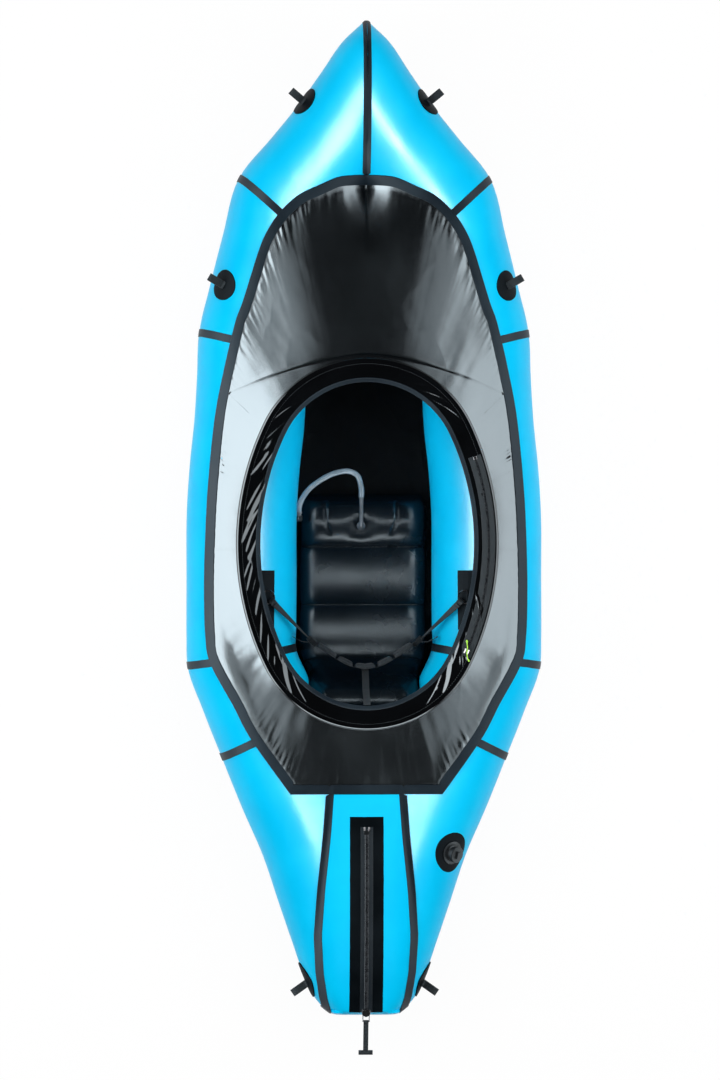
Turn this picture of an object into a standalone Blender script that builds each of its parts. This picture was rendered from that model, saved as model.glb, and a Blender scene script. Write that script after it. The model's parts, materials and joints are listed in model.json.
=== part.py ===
# Packraft: an inflatable one-person boat with a fixed spray deck, an oval coaming and a cargo zip.
# Metres, +Z up, +Y towards the bow, +X to starboard. The origin is on the ground under the middle.
import math
import bpy
from mathutils import Matrix, Vector

# Driving dimensions of the hull
LENGTH = 2.600
BEAM = 0.936
TUBE_DIAMETER = 0.290
BOW_RISE = 0.130
STERN_RISE = 0.075
BOW_RISE_START = 0.450
STERN_RISE_START = 0.550
HULL_FABRIC = 0.0006
FLOOR_FABRIC = 0.0010
DECK_FABRIC = 0.0005
TAPE = 0.0006
GAP = 0.0003
SEAM_TAPE_WIDTH = 0.021
DECK_TAPE_WIDTH = 0.025
FLOOR_LAP = 0.040
RING_SIDES = 15
INNER_STEPS = 3

# Driving dimensions of the coaming
COAMING_WIDTH = 0.554
COAMING_LENGTH = 0.840
COAMING_END_RADIUS = 0.235
COAMING_BAND = 0.064
COAMING_HEIGHT = 0.347
COAMING_TILT = math.radians(2.4)
COAMING_SETBACK = 0.066
COAMING_BEAD = 0.0080
VINYL = 0.0006
HOOP_PLAY = 0.0003
BINDING_WIDTH = 0.012
COAMING_SEGMENTS = 32

# Driving dimensions of the fittings
CARGO_ARC_RADIUS = 1.200
CARGO_FRONT_DIP = 0.00326
CARGO_AFT_DIP = 0.0331
CARGO_PATCH_WIDTH = 0.088
CARGO_CHAIN_SETBACK = 0.026
CARGO_STOP_LENGTH = 0.020
CARGO_TAPE_WIDTH = 0.033
CARGO_CHAIN_WIDTH = 0.011
CARGO_CHAIN_HEIGHT = 0.0025
SLIDER_LENGTH = 0.015
SLIDER_WIDTH = 0.022
SLIDER_HEIGHT = 0.0075
PIN_RADIUS = 0.0014
PIN_PLAY = 0.0004
PULL_LINK_LENGTH = 0.016
PULL_TAB_LENGTH = 0.085
PULL_HANDLE_LENGTH = 0.010
ZIP_COIL_WIDTH = 0.006
ZIP_COIL_HEIGHT = 0.0022
RIM_SLIDER_LENGTH = 0.0119
RIM_SLIDER_WIDTH = 0.012
RIM_SLIDER_HEIGHT = 0.0045
PULL_CORD_DIAMETER = 0.003
PULL_CORD_LENGTH = 0.048
PATCH_RADIUS = 0.041
LOOP_WIDTH = 0.020
LOOP_REACH = 0.046
LOOP_EYE = 0.0095
WEBBING = 0.0020
VALVE_PATCH_RADIUS = 0.0525
VALVE_FLANGE_RADIUS = 0.030
VALVE_NECK_RADIUS = 0.019
VALVE_CAP_RADIUS = 0.0215
VALVE_HEIGHT = 0.012
VALVE_CAP_HEIGHT = 0.010
VALVE_LIP = 0.0012
HOSE_DIAMETER = 0.015
STEM_DIAMETER = 0.0105
STEM_REACH = 0.078
HOSE_REACH = 0.165
MOUTH_VALVE_DIAMETER = 0.018
MOUTH_VALVE_LENGTH = 0.0265
SEAT_LENGTH = 0.452
SEAT_THICKNESS = 0.078
SEAT_PILLOW_RISE = 0.022
SEAT_CHANNEL_PITCH = 0.1535
SEAT_SIDE_CLEARANCE = 0.003
SEAT_BACK_HEIGHT = 0.200
SEAT_BEND = 0.060
STRAP_WIDTH = 0.016
BAND_WEBBING_WIDTH = 0.025
PAD_THICKNESS = 0.013
PAD_HEIGHT = 0.080
BAND_DROP = 0.089
LOCK_LENGTH = 0.022
LOCK_THICKNESS = 0.008
STRAP_TAIL_LENGTH = 0.058
CENTRE_STRAP_WIDTH = 0.018
CENTRE_STRAP_SLACK = 0.010
ANCHOR_PATCH_LENGTH = 0.150
ANCHOR_PATCH_WIDTH = 0.045
D_RING_RADIUS = 0.017
D_RING_WIRE = 0.004
D_RING_TILT = math.radians(20)
FLOOR_STEP = 0.055

# Worked out from the driving dimensions
HALF_LENGTH = LENGTH / 2
HALF_BEAM = BEAM / 2
TUBE_RADIUS = TUBE_DIAMETER / 2
TAPE_LAYER = 1.5 * GAP
STERN_SEAM_LAYER = 2.5 * TAPE_LAYER
HULL_BASE = FLOOR_FABRIC + GAP + TAPE + STERN_SEAM_LAYER
DECK_LAYER = TAPE_LAYER + TAPE + 2 * GAP
DECK_TAPE_LAYER = DECK_LAYER + DECK_FABRIC + 3 * GAP
SEAM_GAP = 2 * GAP

# One row of shares for each ring of the port tube: how far out its outer point is (of the half
# beam), how far forward (of the half length), where its plane crosses the centreline (of the half
# length), its width, height (of the tube radius) and how much flatter its inner half is.
BOW_SHARES = [
    (0.006, 1.000, 0.997, 1.0, 0.92, 1.0),
    (0.056, 0.984, 0.963, 1.0, 0.92, 1.0),
    (0.114, 0.965, 0.931, 1.0, 0.94, 1.0),
    (0.250, 0.897, 0.825, 1.0, 0.98, 1.0),
    (0.390, 0.827, 0.713, 1.0, 1.0, 1.0),
    (0.523, 0.769, 0.605, 1.0, 1.0, 1.0),
    (0.707, 0.688, 0.450, 1.02, 1.0, 1.0),
]
SHOULDER_SHARES = [
    (0.707, 0.688, 0.450, 1.02, 1.0, 1.0),
    (0.796, 0.574, 0.409, 1.0, 1.0, 1.0),
    (0.868, 0.472, 0.352, 1.0, 1.0, 1.0),
    (0.930, 0.376, 0.287, 1.0, 1.0, 1.0),
]
SIDE_SHARES = [
    (0.930, 0.376, 0.287, 1.0, 1.0, 1.0),
    (0.941, 0.288, 0.234, 1.0, 1.0, 1.0),
    (0.956, 0.200, 0.176, 1.0, 1.0, 1.0),
    (0.982, 0.108, 0.099, 1.0, 1.0, 1.0),
    (0.998, 0.018, 0.018, 1.0, 1.0, 1.0),
    (1.000, -0.123, -0.123, 1.0, 1.0, 1.0),
    (1.000, -0.243, -0.211, 1.0, 1.0, 1.0),
    (0.996, -0.294, -0.234, 1.0, 1.0, 1.0),
]
QUARTER_SHARES = [
    (0.996, -0.294, -0.234, 1.0, 1.0, 1.0),
    (0.907, -0.387, -0.281, 1.0, 1.0, 1.0),
    (0.804, -0.481, -0.334, 1.0, 1.0, 1.0),
]
STERN_SHARES = [
    (0.804, -0.481, -0.334, 1.0, 1.0, 1.0),
    (0.687, -0.585, -0.470, 1.0, 0.99, 2.6),
    (0.571, -0.681, -0.589, 1.0, 0.95, 2.4),
    (0.484, -0.774, -0.696, 1.0, 0.89, 2.0),
    (0.406, -0.856, -0.781, 1.0, 0.83, 1.7),
    (0.337, -0.926, -0.841, 1.0, 0.78, 1.4),
    (0.287, -0.964, -0.868, 1.0, 0.75, 1.2),
    (0.228, -0.988, -0.879, 1.0, 0.73, 1.0),
    (0.184, -0.998, -0.882, 1.0, 0.72, 1.0),
    (0.089, -0.999, -0.890, 1.0, 0.71, 1.0),
    (0.006, -0.999, -0.896, 1.0, 0.70, 1.0),
]
PANEL_SHARES = [BOW_SHARES, SHOULDER_SHARES, SIDE_SHARES, QUARTER_SHARES, STERN_SHARES]
PANEL_NAMES = ["bow_tube", "shoulder_tube", "side_tube", "quarter_tube", "stern_tube"]
SEAM_NAMES = ["bow_seam_tape", "shoulder_seam_tape", "quarter_seam_tape", "stern_seam_tape"]

# The deck's outer edge from the bow to the stern: out (of the half beam), forward (of the half length)
DECK_EDGE_SHARES = [
    (0.000, 0.690), (0.085, 0.688), (0.167, 0.683), (0.273, 0.666), (0.381, 0.647), (0.479, 0.615),
    (0.548, 0.579), (0.593, 0.543), (0.640, 0.490), (0.690, 0.432), (0.729, 0.393), (0.792, 0.297),
    (0.842, 0.200), (0.880, 0.060), (0.896, -0.060), (0.900, -0.150), (0.893, -0.235),
    (0.866, -0.290), (0.740, -0.374), (0.640, -0.442), (0.423, -0.552), (0.210, -0.552), (0.0, -0.552),
]
# Half the width of the stern centre panel: out (of the half beam) at places along the half length
STERN_PANEL_SHARES = [
    (0.197, -0.500), (0.203, -0.549), (0.220, -0.633), (0.253, -0.746), (0.270, -0.838),
    (0.259, -0.912), (0.237, -0.964), (0.214, -0.992), (0.201, -1.000),
]


def clamp(value, low, high):
    return max(low, min(high, value))


def mix(a, b, share):
    return a + (b - a) * share


def read_table(table, at):
    """The first column of a table at a value of its second, which falls from row to row."""
    for (x0, y0), (x1, y1) in zip(table, table[1:]):
        if at >= y1:
            return mix(x0, x1, clamp((at - y0) / (y1 - y0), 0, 1))
    return table[-1][0]


# Materials and meshes
def material(name, colour, roughness, metallic=0.0, alpha=1.0):
    made = bpy.data.materials.new(name)
    made.use_nodes = True
    shader = made.node_tree.nodes["Principled BSDF"]
    shader.inputs["Base Color"].default_value = (*colour, 1.0)
    shader.inputs["Roughness"].default_value = roughness
    shader.inputs["Metallic"].default_value = metallic
    shader.inputs["Alpha"].default_value = alpha
    return made


def add(name, points, faces, surface, parent=None, place=None, crease=35):
    """One closed body as an object, with its faces turned outwards."""
    mesh = bpy.data.meshes.new(name)
    mesh.from_pydata([tuple(p) for p in points], [], faces)
    if sum(signed(points, face) for face in faces) < 0:
        mesh.flip_normals()
    mesh.shade_smooth()
    mesh.set_sharp_from_angle(angle=math.radians(crease))
    mesh.materials.append(surface)
    made = bpy.data.objects.new(name, mesh)
    bpy.context.scene.collection.objects.link(made)
    made.parent = parent
    if place:
        made.matrix_local = place
    return made


def signed(points, face):
    first = Vector(points[face[0]])
    return sum(first.dot(Vector(points[b]).cross(Vector(points[c]))) for b, c in zip(face[1:], face[2:]))


def join(made, other):
    """Makes two overlapping bodies one."""
    union = made.modifiers.new("union", "BOOLEAN")
    union.operation = "UNION"
    union.object = other
    other.hide_render = True
    other.display_type = "WIRE"


def mirrored(points):
    return [Vector((-p.x, p.y, p.z)) for p in points]


def rings_solid(rings, cap_start=True, cap_end=True):
    """Points and faces of a loft through closed rings of one count."""
    count = len(rings[0])
    points = [p for ring in rings for p in ring]
    faces = []
    for i in range(len(rings) - 1):
        for k in range(count):
            n = (k + 1) % count
            faces.append((i * count + k, i * count + n, (i + 1) * count + n))
            faces.append((i * count + k, (i + 1) * count + n, (i + 1) * count + k))
    if cap_start:
        faces.append(tuple(reversed(range(count))))
    if cap_end:
        faces.append(tuple(range(len(points) - count, len(points))))
    return points, faces


def loop_solid(rings):
    """Points and faces of a loft whose last ring meets its first."""
    count = len(rings[0])
    points, faces = rings_solid(rings, False, False)
    last = (len(rings) - 1) * count
    for k in range(count):
        n = (k + 1) % count
        faces.append((last + k, last + n, n, k))
    return points, faces


def sleeve_solid(outer, inner, cap_start, cap_end):
    """Points and faces of a thin sleeve. A capped end is closed in both skins, an open one joins them."""
    count = len(outer[0])
    points, faces = rings_solid(outer, cap_start, cap_end)
    base = len(points)
    inner_points, inner_faces = rings_solid(inner, cap_start, cap_end)
    points = points + inner_points
    faces += [tuple(reversed([base + k for k in face])) for face in inner_faces]
    for is_open, a, b in ((not cap_start, 0, base), (not cap_end, base - count, len(points) - count)):
        for k in range(count):
            n = (k + 1) % count
            if is_open and a == 0:
                faces.append((a + n, a + k, b + k, b + n))
            elif is_open:
                faces.append((a + k, a + n, b + n, b + k))
    return points, faces


def slab_solid(low, high, around=False):
    """Points and faces between two grids of one size, closed at the rims. around joins the last row
    to the first."""
    rows, columns = len(low), len(low[0])
    points = [p for row in low for p in row] + [p for row in high for p in row]
    base = rows * columns
    faces = []
    for i in range(rows if around else rows - 1):
        j = (i + 1) % rows
        for k in range(columns - 1):
            a, b = i * columns + k, i * columns + k + 1
            c, d = j * columns + k + 1, j * columns + k
            faces += [(a, b, c), (a, c, d)]
            faces += [(base + c, base + b, base + a), (base + d, base + c, base + a)]
        first, last = (i * columns, j * columns), (i * columns + columns - 1, j * columns + columns - 1)
        faces.append((first[0], first[1], base + first[1], base + first[0]))
        faces.append((last[1], last[0], base + last[0], base + last[1]))
    if not around:
        for k in range(columns - 1):
            e = (rows - 1) * columns
            faces.append((k + 1, k, base + k, base + k + 1))
            faces.append((e + k, e + k + 1, base + e + k + 1, base + e + k))
    return points, faces


# The hull's form
def rise(y):
    """How far the bottom is above the ground, for the rocker at both ends."""
    if y > BOW_RISE_START:
        return BOW_RISE * ((y - BOW_RISE_START) / (HALF_LENGTH - BOW_RISE_START)) ** 2
    if y < -STERN_RISE_START:
        return STERN_RISE * ((-y - STERN_RISE_START) / (HALF_LENGTH - STERN_RISE_START)) ** 1.8
    return 0.0


ROWS = [row for shares in PANEL_SHARES for row in shares[:-1]] + [STERN_SHARES[-1]]
SEAM_AT = [sum(len(shares) - 1 for shares in PANEL_SHARES[: i + 1]) for i in range(4)]
LAST_ROW = len(ROWS) - 1


class Ring:
    """One ring of the port tube in its upright plane."""

    def __init__(self, row):
        self.outer = Vector((-row[0] * HALF_BEAM, row[1] * HALF_LENGTH, 0))
        crossing = Vector((0, row[2] * HALF_LENGTH, 0))
        self.inward = (crossing - self.outer).normalized()
        self.width = row[3] * TUBE_RADIUS
        self.height = row[4] * TUBE_RADIUS
        self.flatter = row[5]

    def point(self, angle, offset=0.0):
        """A point of its skin: angle 0 is outside, 90 degrees on top, below 0 underneath."""
        width = self.width + offset
        if math.cos(angle) < 0:
            width = self.width * self.flatter + offset
        flat = self.outer + self.inward * (self.width - width * math.cos(angle))
        lift = self.height + (self.height + offset) * math.sin(angle)
        return Vector((flat.x, flat.y, HULL_BASE + lift + rise(flat.y)))


RINGS = [Ring(row) for row in ROWS]


def skin(place, angle, offset=0.0):
    """A point of the port tube's skin. place counts rings from the bow."""
    i = int(clamp(math.floor(place), 0, LAST_ROW - 1))
    return mix(RINGS[i].point(angle, offset), RINGS[i + 1].point(angle, offset), place - i)


def widest_angle(place, limit, offset=0.0, below=1):
    """The angle at which the skin meets the plane x = -limit, or pi where it stays clear of it."""
    low, high = 0.0, math.pi
    if skin(place, below * high, offset).x < -limit:
        return high
    for _ in range(30):
        angle = (low + high) / 2
        if skin(place, below * angle, offset).x < -limit:
            low = angle
        else:
            high = angle
    return low


def ring_points(place, offset, limit):
    """Points from the inner bottom round the outer side to the inner top."""
    widest = min(widest_angle(place, limit, offset), math.pi * (1 - 1 / RING_SIDES))
    half = RING_SIDES // 2
    outside = half - INNER_STEPS
    angles = [min(math.pi / 2, widest * outside / half) * k / outside for k in range(outside)]
    angles += [mix(min(math.pi / 2, widest * outside / half), widest, k / INNER_STEPS)
               for k in range(INNER_STEPS + 1)]
    angles = [-a for a in angles[:0:-1]] + angles
    return [skin(place, a, offset) for a in angles]


def skin_place(x, y):
    """The ring place and angle on the port tube's upper skin under a point of the plan."""
    spot = Vector((x, y, 0))

    def side(place):
        outer = skin(place, 0)
        return (skin(place, 2.0) - outer).cross(spot - outer).z

    low, high = 0.0, float(LAST_ROW)
    for i in range(LAST_ROW):
        if side(i) * side(i + 1) <= 0:
            low, high = float(i), float(i + 1)
            break
    for _ in range(20):
        middle = (low + high) / 2
        if (side(low) > 0) == (side(middle) > 0):
            low = middle
        else:
            high = middle
    place, angle = low, math.radians(60)
    step = 0.001
    for _ in range(12):
        here = skin(place, angle)
        along = (skin(place + step, angle) - here) / step
        around = (skin(place, angle + step) - here) / step
        miss = spot - here
        area = along.x * around.y - along.y * around.x
        if abs(area) < 1e-9:
            break
        place += clamp((miss.x * around.y - miss.y * around.x) / area, -0.5, 0.5)
        angle += clamp((along.x * miss.y - along.y * miss.x) / area, -0.5, 0.5)
        place = clamp(place, 0, LAST_ROW - step)
        angle = clamp(angle, 0.02, math.pi - 0.02)
    return place, angle


def skin_normal(place, angle, step=0.02):
    along = skin(min(place + step, LAST_ROW), angle) - skin(max(place - step, 0), angle)
    across = skin(place, angle + step) - skin(place, angle - step)
    normal = across.cross(along).normalized()
    inward = RINGS[int(clamp(place, 0, LAST_ROW))].inward
    outwards = inward * -math.cos(angle) + Vector((0, 0, math.sin(angle)))
    return normal if normal.dot(outwards) > 0 else -normal


def panel_half_width(y):
    return HALF_BEAM * read_table(STERN_PANEL_SHARES, y / HALF_LENGTH)


def panel_power(y, turn=None, upper=1):
    """How square the centre panel's crown is across: more so towards the stern."""
    if turn is not None:
        return 9
    if upper < 0:
        return 6
    return 2 + 2 * clamp((-y - 0.80 * HALF_LENGTH) / (0.12 * HALF_LENGTH), 0, 1)


def arc_centre():
    """Centre of the arc through the panel's front and aft ends, which lie a dip below the tubes' top."""
    top = HULL_BASE + TUBE_DIAMETER
    front = Vector((0, PANEL_FRONT, top - CARGO_FRONT_DIP))
    aft = Vector((0, PANEL_AFT, top - CARGO_AFT_DIP))
    chord = front - aft
    depth = math.sqrt(CARGO_ARC_RADIUS**2 - chord.length_squared / 4)
    across = Vector((0, chord.z, -chord.y)).normalized()
    return mix(aft, front, 0.5) + across * depth


PANEL_FRONT = -0.527 * HALF_LENGTH
PANEL_AFT = -0.9919 * HALF_LENGTH
CARGO_ARC_CENTRE = arc_centre()


def cargo_arc_height(y):
    """Height of the stern centre panel's middle, an arc that the cargo zip follows."""
    run = y - CARGO_ARC_CENTRE.y
    return CARGO_ARC_CENTRE.z + math.sqrt(CARGO_ARC_RADIUS**2 - run**2)


def hull_top(x, y, offset=0.0):
    """A point on or above the hull's upper skin, over a point of the plan."""
    side = -1 if x <= 0 else 1
    away = abs(x)
    edge = panel_half_width(y)
    if y < PANEL_FRONT and away < edge:
        place, angle = skin_place(-edge, y)
        edge_height = skin(place, angle, PANEL_LAYER).z
        middle = cargo_arc_height(y)
        share = away / edge
        return Vector((x, y, mix(middle, edge_height, share ** panel_power(y)) + TAPE + offset))
    place, angle = skin_place(-away, y)
    normal = skin_normal(place, angle)
    point = skin(place, angle) + normal * offset
    if away < offset:
        return Vector((x, y, point.z + offset * (1 / normal.z - normal.z)))
    return Vector((-point.x if side > 0 else point.x, point.y, point.z))


# Hull panels, port first, then the same points mirrored
SIDES = (("port", False), ("starboard", True))


def add_both(name, points, faces, surface):
    made = []
    for side, flip in SIDES:
        made.append(add(f"{name}_{side}", mirrored(points) if flip else points, faces, surface))
    return made


def shifted(rings, towards, distance):
    """A ring moved towards its neighbour by a distance measured at its outer point."""
    middle = len(rings) // 2
    share = distance / (rings[middle] - towards[middle]).length
    return [mix(a, b, share) for a, b in zip(rings, towards)]


def build_tubes(surface):
    limit = GAP / 2
    outer = [ring_points(i, 0, limit) for i in range(LAST_ROW + 1)]
    inner = [ring_points(i, -HULL_FABRIC, limit + HULL_FABRIC) for i in range(LAST_ROW + 1)]
    starts = [0] + SEAM_AT
    ends = SEAM_AT + [LAST_ROW]
    for name, start, end in zip(PANEL_NAMES, starts, ends):
        skins = []
        for rings in (outer, inner):
            part = [list(ring) for ring in rings[start : end + 1]]
            if start:
                part[0] = shifted(rings[start], rings[start + 1], SEAM_GAP / 2)
            if end != LAST_ROW:
                part[-1] = shifted(rings[end], rings[end - 1], SEAM_GAP / 2)
            if name in ("stern_tube", "shoulder_tube"):
                part.insert(1, shifted(rings[start], rings[start + 1], 0.6 * SEAM_TAPE_WIDTH))
            skins.append(part)
        if not start:
            skins[1] = skins[1][1:]
        if end == LAST_ROW:
            skins[1] = skins[1][:-2]
        add_both(name, *sleeve_solid(skins[0], skins[1], not start, end == LAST_ROW), surface)


def build_seam_tapes(surface):
    limit = GAP / 2
    for name, at in zip(SEAM_NAMES, SEAM_AT):
        skins = []
        lift = STERN_SEAM_LAYER if name == "stern_seam_tape" else TAPE_LAYER
        for offset in (lift + TAPE, lift):
            before, here, after = (ring_points(i, offset, limit) for i in (at - 1, at, at + 1))
            half = SEAM_TAPE_WIDTH / 2
            skins.append([shifted(here, before, half), here, shifted(here, after, half)])
        add_both(name, *sleeve_solid(skins[0], skins[1], False, False), surface)


def mitre_top(place):
    """Where the port tube's upper skin meets the middle plane."""
    return skin(place, widest_angle(place, 0))


def build_bow_tape(surface):
    """The tape over the mitre of the bow tubes, from under the deck over the nose to the floor."""
    half = SEAM_TAPE_WIDTH / 2
    nose = next(i / 100 for i in range(300) if skin(i / 100, 0).x < -half) + 0.05
    half_nose = next(i / 100 for i in range(300) if skin(i / 100, 0).x < -half / 2) + 0.05
    nose_places = {half: nose, half / 2: half_nose, 0: 0}
    deck_front = DECK_EDGE_SHARES[0][1] * HALF_LENGTH + 4 * GAP
    first = next(i / 50 for i in range(300, 0, -1) if mitre_top(i / 50).y > deck_front)
    places = [first]
    while places[-1] > 1:
        step = 2 if places[-1] > 3 else 4
        places.append(math.ceil(step * places[-1] - 1) / step)
    places += [mix(1, nose, 0.35), mix(1, nose, 0.7), mix(1, nose, 0.88), nose]
    grids = []
    for offset in (2 * TAPE_LAYER, 2 * TAPE_LAYER + TAPE):
        rows = []
        for upper in (1, -1):
            part = []
            for place in places if upper > 0 else places[:0:-1]:
                row = []
                for x in (half, half / 2, 0):
                    from_place = place if place > nose else nose_places[x]
                    lift = offset if place > 1 else offset + 4 * TAPE
                    angle = widest_angle(from_place, x, lift, upper)
                    row.append(skin(from_place, upper * angle, lift))
                part.append(row)
            if upper < 0:
                edge = skin(nose - 0.05, 0, offset + 4 * TAPE)
                tip = skin(0, 0, offset + 4 * TAPE)
                rows.append([edge, skin(half_nose - 0.05, 0, offset + 4 * TAPE), tip])
                part = part[:8]
            rows += part
        grids.append([[Vector((-x, p.y, p.z)) for x, p in zip((half, half / 2), row)] +
                      [Vector((0, row[2].y, row[2].z))] +
                      [Vector((x, p.y, p.z)) for x, p in zip((half / 2, half), row[1::-1])] for row in rows])
    add("bow_centre_tape", *slab_solid(*grids), surface)


def stern_seam_point(place, upper, shift, offset):
    """A point on the port tube's skin at the centre panel's edge, shifted outboard."""
    low, high = 0.0, math.pi
    for _ in range(30):
        angle = (low + high) / 2
        point = skin(place, upper * angle, offset)
        if -point.x > panel_half_width(point.y) + shift:
            low = angle
        else:
            high = angle
    return skin(place, upper * low, offset)


def stern_seam_end(shift):
    """The last ring place whose outer point is still outboard of the seam line."""
    low, high = SEAM_AT[3] + 1.0, float(LAST_ROW)
    for _ in range(30):
        middle = (low + high) / 2
        outer = skin(middle, 0)
        if -outer.x > panel_half_width(outer.y) + shift:
            low = middle
        else:
            high = middle
    return low


PANEL_LAYER = 3 * TAPE_LAYER


def stern_places():
    """Ring places of the rows along the centre panel's edge on top, from its front to the stern."""
    front = skin_place(-panel_half_width(PANEL_FRONT), PANEL_FRONT)[0]
    last = SEAM_AT[3] + 7.0
    end = stern_seam_end(0.0)
    places = [front]
    while places[-1] < last - 0.1:
        places.append(math.floor(2 * places[-1] + 1.3) / 2)
    fine = [last - 0.25, last - 0.1, last]
    return places[:-1] + fine + [mix(last, end, 0.6), mix(last, end, 0.9)], end


def stern_rows(shift, offset):
    """Points along the centre panel's port edge, in pairs with the row's place in the turn round
    the stern: None on the flat parts, else degrees above or below its middle."""
    top, end = stern_places()
    shifted_end = stern_seam_end(shift)
    rows = []
    turns = {len(top) - 1: 52}
    kept = min(SEAM_AT[3] + 7.0, shifted_end - 0.5) if shift else end
    squeeze = (shifted_end - kept) / max(end - kept, 0.01)
    top = [place if place <= kept else kept + (place - kept) * squeeze for place in top]
    for index, place in enumerate(top):
        rows.append((stern_seam_point(place, 1, shift, offset), turns.get(index), 1))
    rows.append((skin(shifted_end, 0, offset), 0, 1))
    for index, place in list(enumerate(top))[: -BOTTOM_ROWS - 1 : -1]:
        turn = -52 if index in turns else None
        rows.append((stern_seam_point(place, -1, shift, offset), turn, -1))
    return rows


BOTTOM_ROWS = 8


def panel_middle(edge, turn, upper, offset):
    """The middle of the centre panel beside an edge point."""
    if turn is not None:
        level = skin(LAST_ROW, 0).z
        tall = cargo_arc_height(PANEL_AFT) - level
        if turn < 0:
            tall = level - rise(PANEL_AFT) - HULL_BASE
        s, c = math.sin(math.radians(turn)), math.cos(math.radians(turn))
        aft = mix(PANEL_AFT, -HALF_LENGTH - 2 * TAPE, c)
        return Vector((0, aft - offset * c, level + (0.8 * tall + offset) * s))
    y = max(edge.y, PANEL_AFT)
    if upper > 0:
        return Vector((0, y, cargo_arc_height(y) + offset))
    return Vector((0, y, rise(y) + HULL_BASE - 2 * GAP - offset))


def build_stern_panel(surface):
    grids = []
    for offset in (0.0, TAPE):
        grid = []
        for edge, turn, upper in stern_rows(0.0, PANEL_LAYER + offset):
            middle = panel_middle(edge, turn, upper, offset)
            row = []
            power = panel_power(edge.y, turn, upper)
            for share in (-1, -0.86, -0.6, 0, 0.6, 0.86, 1):
                point = mix(middle, edge, abs(share) ** power)
                point.x = edge.x * -share
                row.append(point)
            grid.append(row)
        grids.append(grid)
    add("stern_centre_panel", *slab_solid(*grids), surface)


def build_stern_tapes(surface):
    half = SEAM_TAPE_WIDTH / 2
    grids = []
    for lift in (3 * TAPE + 2 * GAP, 4 * TAPE + 2 * GAP):
        outer = stern_rows(half, PANEL_LAYER + lift)
        edges = stern_rows(0.0, PANEL_LAYER + lift)
        bare = stern_rows(0.0, PANEL_LAYER)
        rows = []
        for (a, _, _), (b, turn, upper), (c, _, _) in zip(outer, edges, bare):
            middle = panel_middle(c, turn, upper, lift)
            share = 1 - half / abs(c.x)
            inner = mix(middle, b, share ** panel_power(c.y, turn, upper))
            inner.x = b.x * share
            rows.append((a, b, inner))
        grids.append(rows[1:])
    add_both("stern_tape", *slab_solid(*grids), surface)


def floor_half_width(y):
    """Half the floor's width: it laps out past the lowest line of the tubes."""
    best = 0.0
    spots = []
    for k in range(8 * LAST_ROW + 1):
        outer = skin(k / 8, 0)
        lowest = skin(k / 8, math.radians(-90))
        inward = Vector((lowest.x - outer.x, lowest.y - outer.y, 0)).normalized()
        spots.append(Vector((lowest.x, lowest.y, 0)) - inward * FLOOR_LAP)
    for a, b in zip(spots, spots[1:]):
        if (a.y - y) * (b.y - y) <= 0 and a.y != b.y:
            best = max(best, -mix(a.x, b.x, (y - a.y) / (b.y - a.y)))
    return best


FLOOR_FRONT = 0.850 * HALF_LENGTH
FLOOR_AFT = -0.770 * HALF_LENGTH


def build_floor(surface):
    fine = FLOOR_STEP
    stations = [FLOOR_FRONT]
    while stations[-1] - fine > BOW_RISE_START:
        stations.append(stations[-1] - fine)
    stations += [BOW_RISE_START, 0.2 * HALF_LENGTH, 0.0, -0.25 * HALF_LENGTH, -STERN_RISE_START]
    while stations[-1] - fine > FLOOR_AFT:
        stations.append(stations[-1] - fine)
    stations.append(FLOOR_AFT)
    low, high = [], []
    for y in stations:
        half = floor_half_width(y)
        low.append([Vector((x, y, rise(y))) for x in (-half, 0, half)])
        high.append([p + Vector((0, 0, FLOOR_FABRIC)) for p in low[-1]])
    add("floor_sheet", *slab_solid(low, high), surface)


# The coaming's own frame: its plane tilts, bow end up
COAMING_CENTRE = Vector((0, -COAMING_SETBACK, COAMING_HEIGHT))
COAMING_FRAME = Matrix.Translation(COAMING_CENTRE) @ Matrix.Rotation(COAMING_TILT, 4, "X")


def oval(turn, out):
    """A point of the four-arc oval in the coaming's plane, out from its inner edge. turn runs from
    the bow over port."""
    half_width, half_length = COAMING_WIDTH / 2, COAMING_LENGTH / 2
    end = COAMING_END_RADIUS
    side = (half_width**2 + half_length**2 - 2 * half_length * end) / (2 * (half_width - end))
    side_centre = side - half_width
    end_centre = half_length - end
    bound = math.atan2(end_centre, side_centre)
    quarter = turn % math.pi
    arc = min(quarter, math.pi - quarter)
    share = arc / (math.pi / 2)
    end_span = math.pi / 2 - bound
    length = end * end_span + side * bound
    walked = share * length
    if walked < end * end_span:
        angle = math.pi / 2 - walked / end
        point = Vector((end * math.cos(angle), end_centre + end * math.sin(angle), 0))
    else:
        angle = bound - (walked - end * end_span) / side
        point = Vector((side * math.cos(angle) - side_centre, side * math.sin(angle), 0))
    normal = Vector((math.cos(angle), math.sin(angle), 0))
    if math.pi / 2 < turn % (2 * math.pi) < 3 * math.pi / 2:
        point.y, normal.y = -point.y, -normal.y
    if turn % (2 * math.pi) < math.pi:
        point.x, normal.x = -point.x, -normal.x
    return point + normal * out, normal


def side_arc():
    """Radius of the oval's inner edge along its sides, and how far its centre is across the middle."""
    half_width, half_length = COAMING_WIDTH / 2, COAMING_LENGTH / 2
    end = COAMING_END_RADIUS
    side = (half_width**2 + half_length**2 - 2 * half_length * end) / (2 * (half_width - end))
    return side, side - half_width


def coaming_top(out):
    """Height of the sleeve's top over the coaming's plane, out from the inner edge."""
    bead_centre = COAMING_BAND - COAMING_BEAD
    if out > bead_centre:
        return math.sqrt(max(COAMING_BEAD**2 - (out - bead_centre) ** 2, 0))
    share = out / bead_centre
    low = -0.75 * COAMING_BEAD
    return mix(low, COAMING_BEAD, share * share * (3 - 2 * share) * 0.35 + share * 0.65)


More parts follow.
